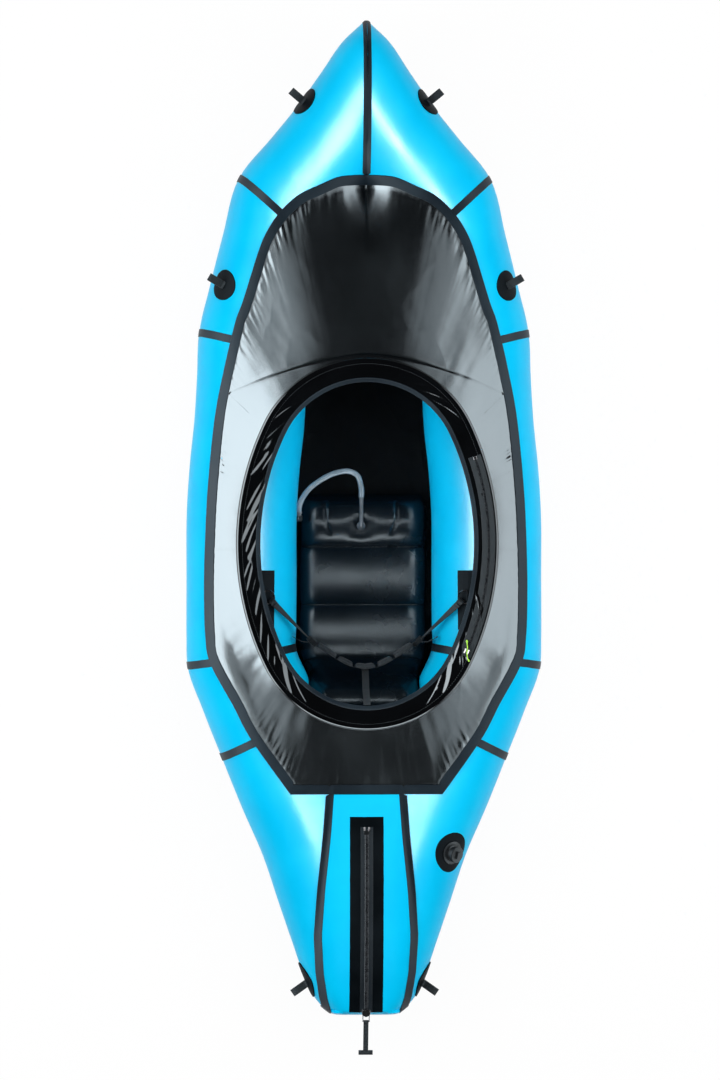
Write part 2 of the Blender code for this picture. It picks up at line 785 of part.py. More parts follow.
def section_sweep(name, section, surface, frame, segments=COAMING_SEGMENTS):
    """A closed section of (out, up) pairs carried round the oval."""
    rings = []
    for k in range(segments):
        turn = 2 * math.pi * k / segments
        ring = []
        for out, up in section:
            point, _ = oval(turn, out)
            ring.append(Vector((point.x, point.y, up)))
        rings.append(ring)
    points, faces = loop_solid(rings)
    return add(name, points, faces, surface, frame)


def coaming_section():
    """The sleeve's section: its outer skin round the bead, then its inner skin back."""
    bead_centre = COAMING_BAND - COAMING_BEAD
    near = 0.02 * bead_centre
    outer = [(s * bead_centre, coaming_top(s * bead_centre)) for s in (0.02, 0.2, 0.45, 0.72, 0.9)]
    for degrees in (90, 50, 10, -30, -62, -90):
        c, s = math.cos(math.radians(degrees)), math.sin(math.radians(degrees))
        outer.append((bead_centre + COAMING_BEAD * c, COAMING_BEAD * s))
    outer.append((near, -COAMING_BEAD))
    inner = [(near, VINYL - COAMING_BEAD)]
    for degrees in (-90, -30, 10, 50, 90):
        c, s = math.cos(math.radians(degrees)), math.sin(math.radians(degrees))
        inner.append((bead_centre + (COAMING_BEAD - VINYL) * c, (COAMING_BEAD - VINYL) * s))
    inner += [(out, up - VINYL) for out, up in (outer[4], outer[2], outer[0])]
    return outer + inner


def binding_section():
    step = TAPE + GAP
    width = BINDING_WIDTH
    near = 0.02 * (COAMING_BAND - COAMING_BEAD)
    top_in, top_out = coaming_top(near), coaming_top(width)
    outer = [(width, top_out + step), (near - step, top_in + step),
             (near - step, -COAMING_BEAD - step), (width, -COAMING_BEAD - step)]
    inner = [(width, top_out + GAP), (near - GAP, top_in + GAP),
             (near - GAP, -COAMING_BEAD - GAP), (width, -COAMING_BEAD - GAP)]
    return outer + inner[::-1]


def build_coaming(frame, looks):
    section_sweep("coaming_sleeve", coaming_section(), looks["vinyl"], frame)
    section_sweep("coaming_binding", binding_section(), looks["tape"], frame)
    bead_centre = COAMING_BAND - COAMING_BEAD
    radius = 0.85 * (COAMING_BEAD - VINYL) - HOOP_PLAY
    hoop = [(bead_centre + radius * math.cos(k * math.pi / 3), radius * math.sin(k * math.pi / 3))
            for k in range(6)]
    section_sweep("coaming_hoop", hoop, looks["plastic"], frame)


# The deck
DECK_JOINT = COAMING_BAND - 0.40 * COAMING_BAND
DECK_FRONT_TURNS = (0, 1.6, 3, 6, 9, 12, 15, 18, 21, 25, 29, 32, 34.5, 37, 39.5, 42.4)
DECK_SIDE_TURNS = (45.5, 50, 55, 60, 66, 73, 82, 92)
DECK_REAR_TURNS = (92, 101, 109, 114, 118, 122, 125, 128, 131, 137, 144, 151, 156, 160, 168, 174, 180)
DECK_LINE_SHARES = (0.0, 0.5, 1.0)


def deck_edge_hit(turn, inset=0.0):
    """Where a ray from the coaming's centre, turned from the bow towards port, meets the deck's edge."""
    ray = Vector((-math.sin(turn), math.cos(turn), 0))
    centre = Vector((0, -COAMING_SETBACK, 0))
    edge = [Vector((-a * HALF_BEAM, b * HALF_LENGTH, 0)) for a, b in DECK_EDGE_SHARES]
    if turn > math.pi:
        edge = [Vector((-p.x, p.y, 0)) for p in edge]
    for a, b in zip(edge, edge[1:]):
        side_a = ray.cross(a - centre).z
        side_b = ray.cross(b - centre).z
        if side_a * side_b <= 0 and (a - centre).dot(ray) > 0:
            share = side_a / (side_a - side_b) if side_a != side_b else 0.0
            hit = mix(a, b, share)
            along = (b - a).normalized()
            slant = abs(ray.cross(along).z)
            return hit - ray * (inset / max(slant, 0.3))
    return mix(edge[0], edge[-1], 1.0)


def coaming_joint(turn, lower):
    """The plan point under the sleeve where the deck is joined, on the same ray, and its height."""
    ray = Vector((-math.sin(turn), math.cos(turn), 0))
    low, high = 0.0, 2 * math.pi
    if turn <= math.pi:
        high = math.pi
    else:
        low = math.pi
    for _ in range(30):
        middle = (low + high) / 2
        point, _ = oval(middle, DECK_JOINT)
        if ray.cross(point).z < 0:
            low = middle
        else:
            high = middle
    local, _ = oval((low + high) / 2, DECK_JOINT)
    local.z = -COAMING_BEAD - GAP - lower
    return COAMING_FRAME @ local


def deck_line(turn, start, end, lift):
    """Points of the deck's upper (lift is its fabric) or lower side along a ray, between two shares
    of the way from the tape's inner edge to the coaming; below 0 is the lap under the tape."""
    lap = hull_point_on(deck_edge_hit(turn, 0.1 * DECK_TAPE_WIDTH), DECK_LAYER + lift)
    inner = hull_point_on(deck_edge_hit(turn, DECK_TAPE_WIDTH), DECK_LAYER + lift)
    joint = coaming_joint(turn, DECK_FABRIC - lift)

    def at(share):
        if share < 0:
            return mix(inner, lap, -share)
        return mix(inner, joint, share)

    if start < 0:
        return [at(-1.0)] + [at(mix(0, end, s)) for s in DECK_LINE_SHARES]
    return [at(mix(start, end, s)) for s in (0.0, 0.33, 0.67, 1.0)]


def hull_point_on(spot, offset):
    return hull_top(spot.x, spot.y, offset)


def foredeck_seam_share(turn):
    """Where the curved seam behind the foredeck crosses a ray, as a share of the deck's span."""
    if abs(turn) >= math.radians(DECK_FRONT_TURNS[-1]):
        return 0.02
    inner = deck_edge_hit(turn % (2 * math.pi), DECK_TAPE_WIDTH)
    joint = coaming_joint(turn % (2 * math.pi), 0)
    low, high = 0.02, 0.98
    for _ in range(30):
        share = (low + high) / 2
        spot = mix(inner, joint, share)
        seam = HALF_LENGTH * (0.3255 - 0.074 * (abs(spot.x) / (0.768 * HALF_BEAM)) ** 1.6)
        if spot.y > seam:
            low = share
        else:
            high = share
    return low


def deck_panel(name, turns, spans, surface):
    grids = []
    for lift in (0.0, DECK_FABRIC):
        grid = []
        for turn, (start, end) in zip(turns, spans):
            grid.append(deck_line(turn % (2 * math.pi), start, end, lift))
        grids.append(grid)
    add(name, *slab_solid(*grids), surface)


def both_ways(degrees):
    """The turns of one half, mirrored to the other, in one run."""
    half = [math.radians(d) for d in degrees]
    return [-t for t in half[::-1] if t] + half


def build_deck(surface):
    gap_share = 0.004
    front = both_ways(DECK_FRONT_TURNS)
    deck_panel("foredeck", front, [(-1, foredeck_seam_share(t) - gap_share) for t in front], surface)
    middle = both_ways(DECK_FRONT_TURNS + DECK_SIDE_TURNS)
    spans = []
    for t in middle:
        ahead = abs(t) <= math.radians(DECK_FRONT_TURNS[-1]) + 1e-6
        spans.append((foredeck_seam_share(t) + gap_share if ahead else -1, 1))
    deck_panel("mid_deck", middle, spans, surface)
    half = [math.radians(d) for d in rear_turns()]
    half[0] += GAP
    rear = half + [2 * math.pi - t for t in half[-2::-1]]
    deck_panel("rear_deck", rear, [(-1, 1)] * len(rear), surface)


def rear_turns():
    """The rear rays, with one through the deck's corner."""
    corner = Vector((DECK_EDGE_SHARES[-3][0] * HALF_BEAM,
                     DECK_EDGE_SHARES[-3][1] * HALF_LENGTH + COAMING_SETBACK, 0))
    corner_turn = math.degrees(math.atan2(corner.x, corner.y))
    kept = [t for t in DECK_REAR_TURNS if abs(t - corner_turn) > 1.5]
    return sorted(kept + [corner_turn])


def deck_tape_turns():
    turns = list(DECK_FRONT_TURNS + DECK_SIDE_TURNS) + rear_turns()[1:]
    half = [math.radians(t) for t in turns]
    return half + [2 * math.pi - t for t in half[-2:0:-1]]


def build_deck_tape(surface):
    grids = []
    for offset in (DECK_TAPE_LAYER, DECK_TAPE_LAYER + TAPE):
        grid = []
        for turn in deck_tape_turns():
            insets = (0, DECK_TAPE_WIDTH / 2, DECK_TAPE_WIDTH)
            grid.append([hull_point_on(deck_edge_hit(turn, inset), offset) for inset in insets])
        grids.append(grid)
    add("deck_perimeter_tape", *slab_solid(*grids, around=True), surface)


# Turned and swept pieces
def turned(name, profile, surface, place, sides=20, parent=None):
    """A solid turned from (radius, height) pairs, closed on its axis at both ends."""
    rings = []
    for radius, height in profile:
        turns = [2 * math.pi * k / sides for k in range(sides)]
        ring = [Vector((radius * math.cos(turn), radius * math.sin(turn), height)) for turn in turns]
        rings.append(ring)
    points, faces = rings_solid(rings)
    return add(name, points, faces, surface, parent, place)


def frame_at(origin, up, ahead):
    """A frame whose Z is up and whose Y is as near ahead as it can be."""
    z = up.normalized()
    x = ahead.cross(z).normalized()
    y = z.cross(x)
    turn = Matrix((x, y, z)).transposed().to_4x4()
    return Matrix.Translation(origin) @ turn


def tube_along(path, radii, sides=10):
    """Points and faces of a round tube through a path, closed at both ends."""
    rings = []
    side = None
    for i, point in enumerate(path):
        ahead = path[min(i + 1, len(path) - 1)] - path[max(i - 1, 0)]
        ahead.normalize()
        if side is None:
            side = ahead.orthogonal().normalized()
        side = (side - ahead * side.dot(ahead)).normalized()
        other = ahead.cross(side)
        ring = []
        for k in range(sides):
            a = 2 * math.pi * k / sides
            ring.append(point + (side * math.cos(a) + other * math.sin(a)) * radii[i])
        rings.append(ring)
    return rings_solid(rings)


def strap_along(path, across, width, thickness):
    """Points and faces of a flat strap through a path; across gives its width direction."""
    rings = []
    for i, point in enumerate(path):
        ahead = path[min(i + 1, len(path) - 1)] - path[max(i - 1, 0)]
        ahead.normalize()
        side = (across[i] - ahead * across[i].dot(ahead)).normalized()
        up = side.cross(ahead)
        rings.append([point + side * (width / 2 * s) + up * (thickness / 2 * t)
                      for s, t in ((-1, -1), (1, -1), (1, 1), (-1, 1))])
    return rings_solid(rings)


def eye_solid(radius, thickness, width, sides=12, stretch=1.0):
    """A short band round the X axis, for an end of webbing round a bar."""
    rings = []
    for r in (radius, radius + thickness):
        for x in (-width / 2, width / 2):
            rings.append([Vector((x, (r + (stretch - 1) * radius) * math.cos(2 * math.pi * k / sides),
                                  r * math.sin(2 * math.pi * k / sides))) for k in range(sides)])
    inner_a, inner_b, outer_a, outer_b = rings
    return loop_solid([inner_a, outer_a, outer_b, inner_b])


# Tie-down loops
LOOP_PLACES = (
    ("bow_loop", 3.80, math.radians(21), math.radians(18)),
    ("mid_loop", 7.93, math.radians(41), math.radians(16)),
    ("stern_loop", 23.30, math.radians(5), math.radians(2)),
)


def skin_disc(place, angle, radius, offset, thickness, sides=12, shares=(0.55, 1.0)):
    """A round patch that follows the port tube's skin: low and high rings from its middle out."""
    here = skin(place, angle)
    along = (skin(place + 0.05, angle) - skin(place - 0.05, angle)).length / 0.1
    around = (skin(place, angle + 0.05) - skin(place, angle - 0.05)).length / 0.1
    grids = []
    for lift in (offset, offset + thickness):
        rings = []
        for share in shares:
            ring = []
            for k in range(sides):
                a = 2 * math.pi * k / sides
                spot = (place + share * radius * math.cos(a) / along,
                        angle + share * radius * math.sin(a) / around)
                ring.append(skin(*spot) + skin_normal(*spot) * lift)
            rings.append(ring)
        grids.append((here + skin_normal(place, angle) * lift, rings))
    (low_mid, low), (high_mid, high) = grids
    points = [low_mid, high_mid] + [p for ring in low + high[::-1] for p in ring]
    faces = []
    bases = [2 + i * sides for i in range(2 * len(shares))]
    for k in range(sides):
        n = (k + 1) % sides
        faces.append((0, bases[0] + n, bases[0] + k))
        faces.append((1, bases[-1] + k, bases[-1] + n))
        for a, b in zip(bases, bases[1:]):
            faces.append((a + k, a + n, b + n, b + k))
    return points, faces


def loop_ring():
    """The webbing loop in its own frame: out along Z, through along Y, closed on its base."""
    shape = ((0.0, 0.45), (0.25, 0.55), (0.6, 0.95), (0.85, 0.9), (0.955, 0.45))
    inner = []
    for out, wide in shape:
        inner.append((wide * LOOP_EYE / 2, (0.12 + out * 0.83) * LOOP_REACH))
    outer = []
    for (half, out), (share, wide) in zip(inner, shape):
        stretch = WEBBING * (share > 0.9) - 2.6 * WEBBING * (share == 0)
        outer.append((half + WEBBING * 0.95, out + stretch))
    inner_loop = [(-a, b) for a, b in inner] + inner[::-1]
    outer_loop = [(-a, b) for a, b in outer] + outer[::-1]
    rings = []
    for loop, y in ((inner_loop, -0.5), (outer_loop, -0.5), (outer_loop, 0.5), (inner_loop, 0.5)):
        rings.append([Vector((a, y * LOOP_WIDTH, b)) for a, b in loop])
    return loop_solid(rings)


def build_loops(surface):
    points, faces = loop_ring()
    for name, place, angle, lean in LOOP_PLACES:
        disc_points, disc_faces = skin_disc(place, angle, PATCH_RADIUS, 3 * TAPE_LAYER, 3 * TAPE)
        origin = skin(place, angle) + skin_normal(place, angle) * (3 * TAPE_LAYER + 2 * TAPE)
        outwards = -RINGS[int(place)].inward
        up = outwards * math.cos(lean) + Vector((0, 0, math.sin(lean)))
        ahead = (skin(place - 0.1, angle) - skin(place + 0.1, angle)).normalized()
        frame = frame_at(origin, up, ahead)
        loop_points = [frame @ p for p in points]
        for side, flip in SIDES:
            disc = mirrored(disc_points) if flip else disc_points
            patch = add(f"{name}_{side}", disc, disc_faces, surface)
            webbing = add(f"{name}_{side}_webbing", mirrored(loop_points) if flip else loop_points,
                          faces, surface)
            join(patch, webbing)


# Main valve
VALVE_PLACE = 20.05
VALVE_ANGLE = math.radians(46)


def build_valve(looks):
    points, faces = skin_disc(VALVE_PLACE, VALVE_ANGLE, VALVE_PATCH_RADIUS, TAPE_LAYER, TAPE, 20,
                              (0.25, 0.5, 0.75, 1.0))
    add("main_valve_patch", mirrored(points), faces, looks["webbing"])
    here = skin(VALVE_PLACE, VALVE_ANGLE)
    normal = skin_normal(VALVE_PLACE, VALVE_ANGLE)
    origin = mirrored([here + normal * (TAPE_LAYER + TAPE + GAP)])[0]
    up = Vector((-normal.x, normal.y, normal.z))
    frame = frame_at(origin, up, Vector((0, 1, 0)))
    lip = VALVE_LIP
    flange_lift = TAPE_LAYER + TAPE + GAP
    points, faces = skin_disc(VALVE_PLACE, VALVE_ANGLE, VALVE_FLANGE_RADIUS, flange_lift, 2 * lip, 20,
                              (0.5, 1.0))
    body = add("main_valve_body", mirrored(points), faces, looks["plastic"])
    neck = turned("main_valve_body_neck", [
        (VALVE_NECK_RADIUS + 2 * lip, lip), (VALVE_NECK_RADIUS + 2 * lip, 2.4 * lip),
        (VALVE_NECK_RADIUS, 3.6 * lip), (VALVE_NECK_RADIUS, VALVE_HEIGHT)], looks["plastic"], frame, 20)
    join(body, neck)
    cap_base = VALVE_HEIGHT + GAP
    cap = turned("main_valve_cap", [
        (VALVE_CAP_RADIUS, cap_base), (VALVE_CAP_RADIUS, cap_base + 0.7 * VALVE_CAP_HEIGHT),
        (VALVE_CAP_RADIUS - 1.5 * lip, cap_base + VALVE_CAP_HEIGHT - lip),
        (0.55 * VALVE_CAP_RADIUS, cap_base + VALVE_CAP_HEIGHT - 1.4 * lip)], looks["plastic"], frame, 24)
    grip = turned("main_valve_cap_grip", [
        (0.30 * VALVE_CAP_RADIUS, cap_base + 0.5 * VALVE_CAP_HEIGHT),
        (0.27 * VALVE_CAP_RADIUS, cap_base + 1.5 * VALVE_CAP_HEIGHT)], looks["plastic"], frame, 4)
    grip.data.transform(Matrix.Diagonal((1, 2.2, 1, 1)) @ Matrix.Rotation(math.pi / 4, 4, "Z"))
    join(cap, grip)


# Cargo zip
def panel_spot(x, y, offset):
    """A point over the stern centre panel."""
    bare = hull_top(x, y, offset)
    return Vector((x, y, bare.z))


CARGO_FRONT = -0.597 * HALF_LENGTH
CARGO_AFT = -0.9908 * HALF_LENGTH
CHAIN_FRONT = CARGO_FRONT - CARGO_CHAIN_SETBACK


def strip_on_panel(name, half, front, aft, offset, thickness, surface, steps, columns=4):
    grids = []
    for lift in (offset, offset + thickness):
        grid = []
        for i in range(steps + 1):
            y = mix(front, aft, i / steps)
            shares = [2 * k / columns - 1 for k in range(columns + 1)]
            grid.append([panel_spot(half * s, y, lift) for s in shares])
        grids.append(grid)
    return add(name, *slab_solid(*grids), surface)


def build_cargo_zip(looks):
    patch_lift = GAP
    strip_on_panel("cargo_zip_patch", CARGO_PATCH_WIDTH / 2, CARGO_FRONT, CARGO_AFT, patch_lift, TAPE,
                   looks["tape"], 12)
    tape_lift = patch_lift + TAPE + GAP
    chain_aft = CARGO_AFT
    tape = strip_on_panel("cargo_zip_chain", CARGO_TAPE_WIDTH / 2, CHAIN_FRONT, chain_aft, tape_lift, TAPE,
                          looks["webbing"], 12, 2)
    chain = strip_on_panel("cargo_zip_chain_teeth", CARGO_CHAIN_WIDTH / 2, CHAIN_FRONT - 2 * TAPE,
                           chain_aft + TAPE, tape_lift + TAPE / 2, CARGO_CHAIN_HEIGHT - TAPE / 2,
                           looks["webbing"], 12, 2)
    join(tape, chain)
    stop = strip_on_panel("cargo_zip_chain_stop", 0.8 * CARGO_CHAIN_WIDTH, CHAIN_FRONT - 2 * TAPE,
                          CHAIN_FRONT - CARGO_STOP_LENGTH, tape_lift + TAPE / 2, CARGO_CHAIN_HEIGHT * 1.5,
                          looks["metal"], 2, 2)
    join(tape, stop)
    return tape_lift + CARGO_CHAIN_HEIGHT


def box_solid(low, high):
    xs, ys, zs = zip(low, high)
    ring = [(xs[0], ys[0]), (xs[1], ys[0]), (xs[1], ys[1]), (xs[0], ys[1])]
    return rings_solid([[Vector((x, y, z)) for x, y in ring] for z in zs])


def tangent_frame(y, lift):
    """A frame on the cargo zip's arc: Y runs forward along it, Z away from its centre."""
    run = y - CARGO_ARC_CENTRE.y
    up = Vector((0, run, math.sqrt(CARGO_ARC_RADIUS**2 - run**2))).normalized()
    origin = Vector((0, y, cargo_arc_height(y) + TAPE)) + up * lift
    return frame_at(origin, up, Vector((0, 1, 0)))


def build_cargo_slider(chain_lift, looks):
    frame = tangent_frame(CARGO_AFT + 0.2 * SLIDER_LENGTH, chain_lift + GAP)
    long, wide, tall = SLIDER_LENGTH, SLIDER_WIDTH, SLIDER_HEIGHT
    body = add("cargo_zip_slider", *box_solid((-wide / 2, -long / 2, 0), (wide / 2, long / 2, tall)),
               looks["metal"], None, frame)
    bevel = body.modifiers.new("edges", "BEVEL")
    bevel.width = tall / 4
    bevel.segments = 2
    knuckle_radius = PIN_RADIUS + PIN_PLAY + WEBBING * 0.8
    sides = 12
    points, faces = eye_solid(PIN_RADIUS + PIN_PLAY, WEBBING * 0.8, wide * 0.34, sides)
    hinge = Vector((0, -long / 2 - 0.6 * knuckle_radius, 0.68 * tall))
    knuckle = add("cargo_zip_slider_knuckle", [p + hinge for p in points], faces, looks["metal"], None,
                  frame)
    join(body, knuckle)
    link_wide = 0.75 * wide
    link_long = PULL_LINK_LENGTH
    half = link_wide / 2
    loop = [(-half, 0), (half, 0), (half, -link_long), (-half, -link_long)]
    rings = []
    sides = 8
    for i, (x, y) in enumerate(loop):
        corner = Vector((math.copysign(1, x), 1 if y == 0 else -1, 0))
        ring = []
        for k in range(sides):
            a = 2 * math.pi * k / sides
            ring.append(Vector((x, y, 0)) + corner * (PIN_RADIUS * math.cos(a)) +
                        Vector((0, 0, PIN_RADIUS * math.sin(a))))
        rings.append(ring)
    pull_frame = frame @ Matrix.Translation(hinge)
    points, faces = loop_solid(rings)
    add("cargo_pull_link", points, faces, looks["metal"], None, pull_frame)
    eye_radius = PIN_RADIUS + PIN_PLAY
    tab_wide = 0.6 * wide
    tab_points, tab_faces = eye_solid(eye_radius, WEBBING, tab_wide, 12)
    eye = [p + Vector((0, -link_long, 0)) for p in tab_points]
    tab = add("cargo_pull_tab", eye, tab_faces, looks["webbing"], None, pull_frame)
    tab_long = PULL_TAB_LENGTH
    start = -link_long - eye_radius - WEBBING * 0.5
    strip = add("cargo_pull_tab_strip", *box_solid((-tab_wide / 2, start - tab_long, -WEBBING / 2),
                                                   (tab_wide / 2, start, WEBBING / 2)),
                looks["webbing"], None, pull_frame)
    join(tab, strip)
    handle_wide, handle_long = 1.68 * wide, PULL_HANDLE_LENGTH
    middle = start - tab_long
    handle_box = box_solid((-handle_wide / 2, middle - handle_long / 2, -2 * WEBBING),
                           (handle_wide / 2, middle + handle_long / 2, 2 * WEBBING))
    handle = add("cargo_pull_tab_handle", *handle_box, looks["webbing"], None, pull_frame)
    join(tab, handle)


# Coaming zip: its arc has the oval side's centre
ZIP_INNER = 0.33 * COAMING_BAND
ZIP_OUTER = 0.86 * COAMING_BAND
ZIP_FRONT_TURN = math.radians(19.0)
ZIP_AFT_TURN = math.radians(-24.5)


def side_spot(angle, out, up):
    """A point over the sleeve's starboard side, in the coaming's frame."""
    radius, centre = side_arc()
    return Vector(((radius + out) * math.cos(angle) - centre, (radius + out) * math.sin(angle), up))


def build_coaming_zip(frame, looks):
    grids = []
    steps = 12
    middle = (ZIP_INNER + ZIP_OUTER) / 2
    for lift in (2 * GAP, 2 * GAP + TAPE):
        grid = []
        for i in range(steps + 1):
            angle = mix(ZIP_FRONT_TURN, ZIP_AFT_TURN, i / steps)
            row = []
            for share in (0.0, 0.33, 0.67, 1.0):
                out = mix(ZIP_INNER, ZIP_OUTER, share)
                row.append(side_spot(angle, out, coaming_top(out) + lift + GAP))
            grid.append(row)
        grids.append(grid)
    tape = add("coaming_zip_tape", *slab_solid(*grids), looks["webbing"], frame)
    coil_half = ZIP_COIL_WIDTH / 2
    radius = side_arc()[0] + middle
    inset = RIM_SLIDER_LENGTH / 3 / radius
    coil = []
    base = coaming_top(middle) + 2 * GAP + TAPE / 2
    for i in range(steps + 1):
        angle = mix(ZIP_FRONT_TURN - inset, ZIP_AFT_TURN + inset, i / steps)
        ring = []
        for out, up in ((-1, 0), (1, 0), (0.6, 1), (-0.6, 1)):
            ring.append(side_spot(angle, middle + out * coil_half, base + up * ZIP_COIL_HEIGHT + GAP))
        coil.append(ring)
    join(tape, add("coaming_zip_tape_coil", *rings_solid(coil), looks["webbing"], frame))
    slider_angle = ZIP_AFT_TURN + 2 * inset
    slide_lift = base + GAP + ZIP_COIL_HEIGHT + GAP
    slider = []
    for share in (0, 1):
        angle = slider_angle + 3 * share * inset
        ring = []
        for out, up in ((-1, 0), (1, 0), (1, 0.67), (0.5, 1), (-0.5, 1), (-1, 0.67)):
            ring.append(side_spot(angle, middle + out * RIM_SLIDER_WIDTH / 2,
                                  slide_lift + up * RIM_SLIDER_HEIGHT))
        slider.append(ring)
    add("coaming_zip_slider", *rings_solid(slider), looks["metal"], frame)
    return middle, slide_lift, slider_angle


# Of the cord's length: how far forward of the slider's aft end and how far out; then its swelling in a
# knot, and whether it lies on the slider (1) or beside it on the sleeve (0)
PULL_CORD_SHARES = (
    (0.66, -0.21, 1.7, 0.0), (0.53, -0.15, 1.5, 0.0), (0.36, -0.065, 1.0, 0.88), (0.19, 0.0, 1.0, 1.0),
    (0.06, 0.04, 1.0, 1.0), (-0.085, 0.125, 1.0, 0.88), (-0.21, 0.23, 1.5, 0.0), (-0.29, 0.355, 1.7, 0.0),
)


def build_pull_cord(frame, middle, lift, slider_angle, looks):
    """The knotted cord laid over the slider, its two ends down on the sleeve."""
    path = []
    radius = PULL_CORD_DIAMETER / 2
    arc = side_arc()[0]
    swell = [row[2] for row in PULL_CORD_SHARES]
    for along, out, thick, on_slider in PULL_CORD_SHARES:
        across = middle + out * PULL_CORD_LENGTH
        bare = coaming_top(across) + 3 * GAP + TAPE
        seat = mix(bare, lift + RIM_SLIDER_HEIGHT, on_slider)
        height = max(seat, bare if on_slider == 0 else lift) + GAP + thick * radius
        path.append(side_spot(slider_angle + along * PULL_CORD_LENGTH / arc, across, height))
    add("coaming_pull_cord", *tube_along(path, [radius * s for s in swell], 8), looks["cord"], frame)


# Seat
SEAT_FRONT = SEAT_LENGTH - 0.2957 * HALF_LENGTH
SEAT_CHANNELS = 4


def seat_spine(share):
    """Middle of the cushion from its front edge back, then up along the back: (y, z, tilt)."""
    flat = SEAT_LENGTH
    back = SEAT_BACK_HEIGHT
    total = flat + back
    walked = share * total
    bend = SEAT_BEND
    lean = math.radians(62)
    base = FLOOR_FABRIC + GAP + SEAT_THICKNESS / 2
    front = SEAT_FRONT
    if walked < flat - bend:
        return front - walked, base, 0.0
    turn = clamp((walked - flat + bend) / (2 * bend), 0, 1)
    radius = 2 * bend / lean
    tilt = lean * turn
    y = front - (flat - bend) - radius * math.sin(tilt)
    z = base + radius * (1 - math.cos(tilt))
    over = max(walked - flat - bend, 0)
    return y - over * math.cos(lean), z + over * math.sin(lean), tilt


def cockpit_half_width(y):
    """Half the clear width between the tubes at a place along the cockpit."""
    spots = [skin(place, math.pi) for place in range(SEAM_AT[1] - 1, SEAM_AT[3] + 1)]
    return read_table([(-p.x, p.y) for p in spots], y)


def seat_edges():
    """Where the cushion's channels meet, as shares of its whole length."""
    total = SEAT_LENGTH + SEAT_BACK_HEIGHT
    return [0.0] + [(i + 0.92) * SEAT_CHANNEL_PITCH / total for i in range(SEAT_CHANNELS - 1)] + [1.0]


def cushion_section(share):
    """How far the cushion swells at a share of its length, how round its end is, and its reach
    above and below its middle."""
    total = SEAT_LENGTH + SEAT_BACK_HEIGHT
    edges = seat_edges()
    near = min(abs(share - e) for e in edges) * total
    swell = math.sqrt(clamp(near / (SEAT_CHANNEL_PITCH * 0.5), 0, 1))
    ends = clamp(min(share, 1 - share) * total / (SEAT_THICKNESS * 0.5), 0, 1)
    round_end = math.sqrt(1 - (1 - ends) ** 2)
    top = SEAT_THICKNESS * 0.5 * (0.74 + 0.26 * swell) * max(round_end, 0.16)
    if share < edges[1]:
        top += SEAT_PILLOW_RISE * math.sin(math.pi * share / edges[1]) ** 0.7
    return swell, round_end, top, SEAT_THICKNESS * 0.5 * max(round_end, 0.16)


def build_seat(surface):
    rows_per = 5
    edges = seat_edges()
    stations = []
    for a, b in zip(edges, edges[1:]):
        stations += [mix(a, b, k / rows_per) for k in range(rows_per)]
    stations.append(1.0)
    rings = []
    columns = 10
    for share in stations:
        y, z, tilt = seat_spine(share)
        swell, round_end, top, low = cushion_section(share)
        half = min(cockpit_half_width(min(y, SEAT_FRONT)), cockpit_half_width(SEAT_FRONT))
        half -= SEAT_SIDE_CLEARANCE
        wide = half * (0.965 + 0.035 * swell) * (0.90 + 0.10 * round_end)
        normal = Vector((0, math.sin(tilt), math.cos(tilt)))
        middle = Vector((0, y, z))
        ring = []
        for k in range(columns + 1):
            x = 1 - 2 * k / columns
            shape = (1 - abs(x) ** 3.2) ** 0.6 if abs(x) < 1 else 0.0
            ring.append(middle + Vector((x * wide, 0, 0)) + normal * (top * shape))
        for k in range(1, columns):
            x = 2 * k / columns - 1
            shape = (1 - abs(x) ** 4) ** 0.5
            ring.append(middle + Vector((x * wide, 0, 0)) - normal * (low * shape))
        rings.append(ring)
    add("seat_cushion", *rings_solid(rings), surface, crease=80)


# Of the stem's reach, past its welded foot: forward and up
STEM_SHARES = ((0.038, 0.128), (0.154, 0.199), (0.577, 0.269), (1.0, 0.333))
# Of the hose's reach: to port of the stem up to the mouth valve, forward and up
HOSE_SHARES = (
    (0.061, 0.806, 0.2545), (0.171, 0.879, 0.267), (0.304, 0.885, 0.261), (0.486, 0.836, 0.242),
    (0.669, 0.739, 0.218), (0.832, 0.612, 0.182), (0.942, 0.467, 0.145), (0.994, 0.333, 0.115),
    (1.0, 0.242, 0.103),
)


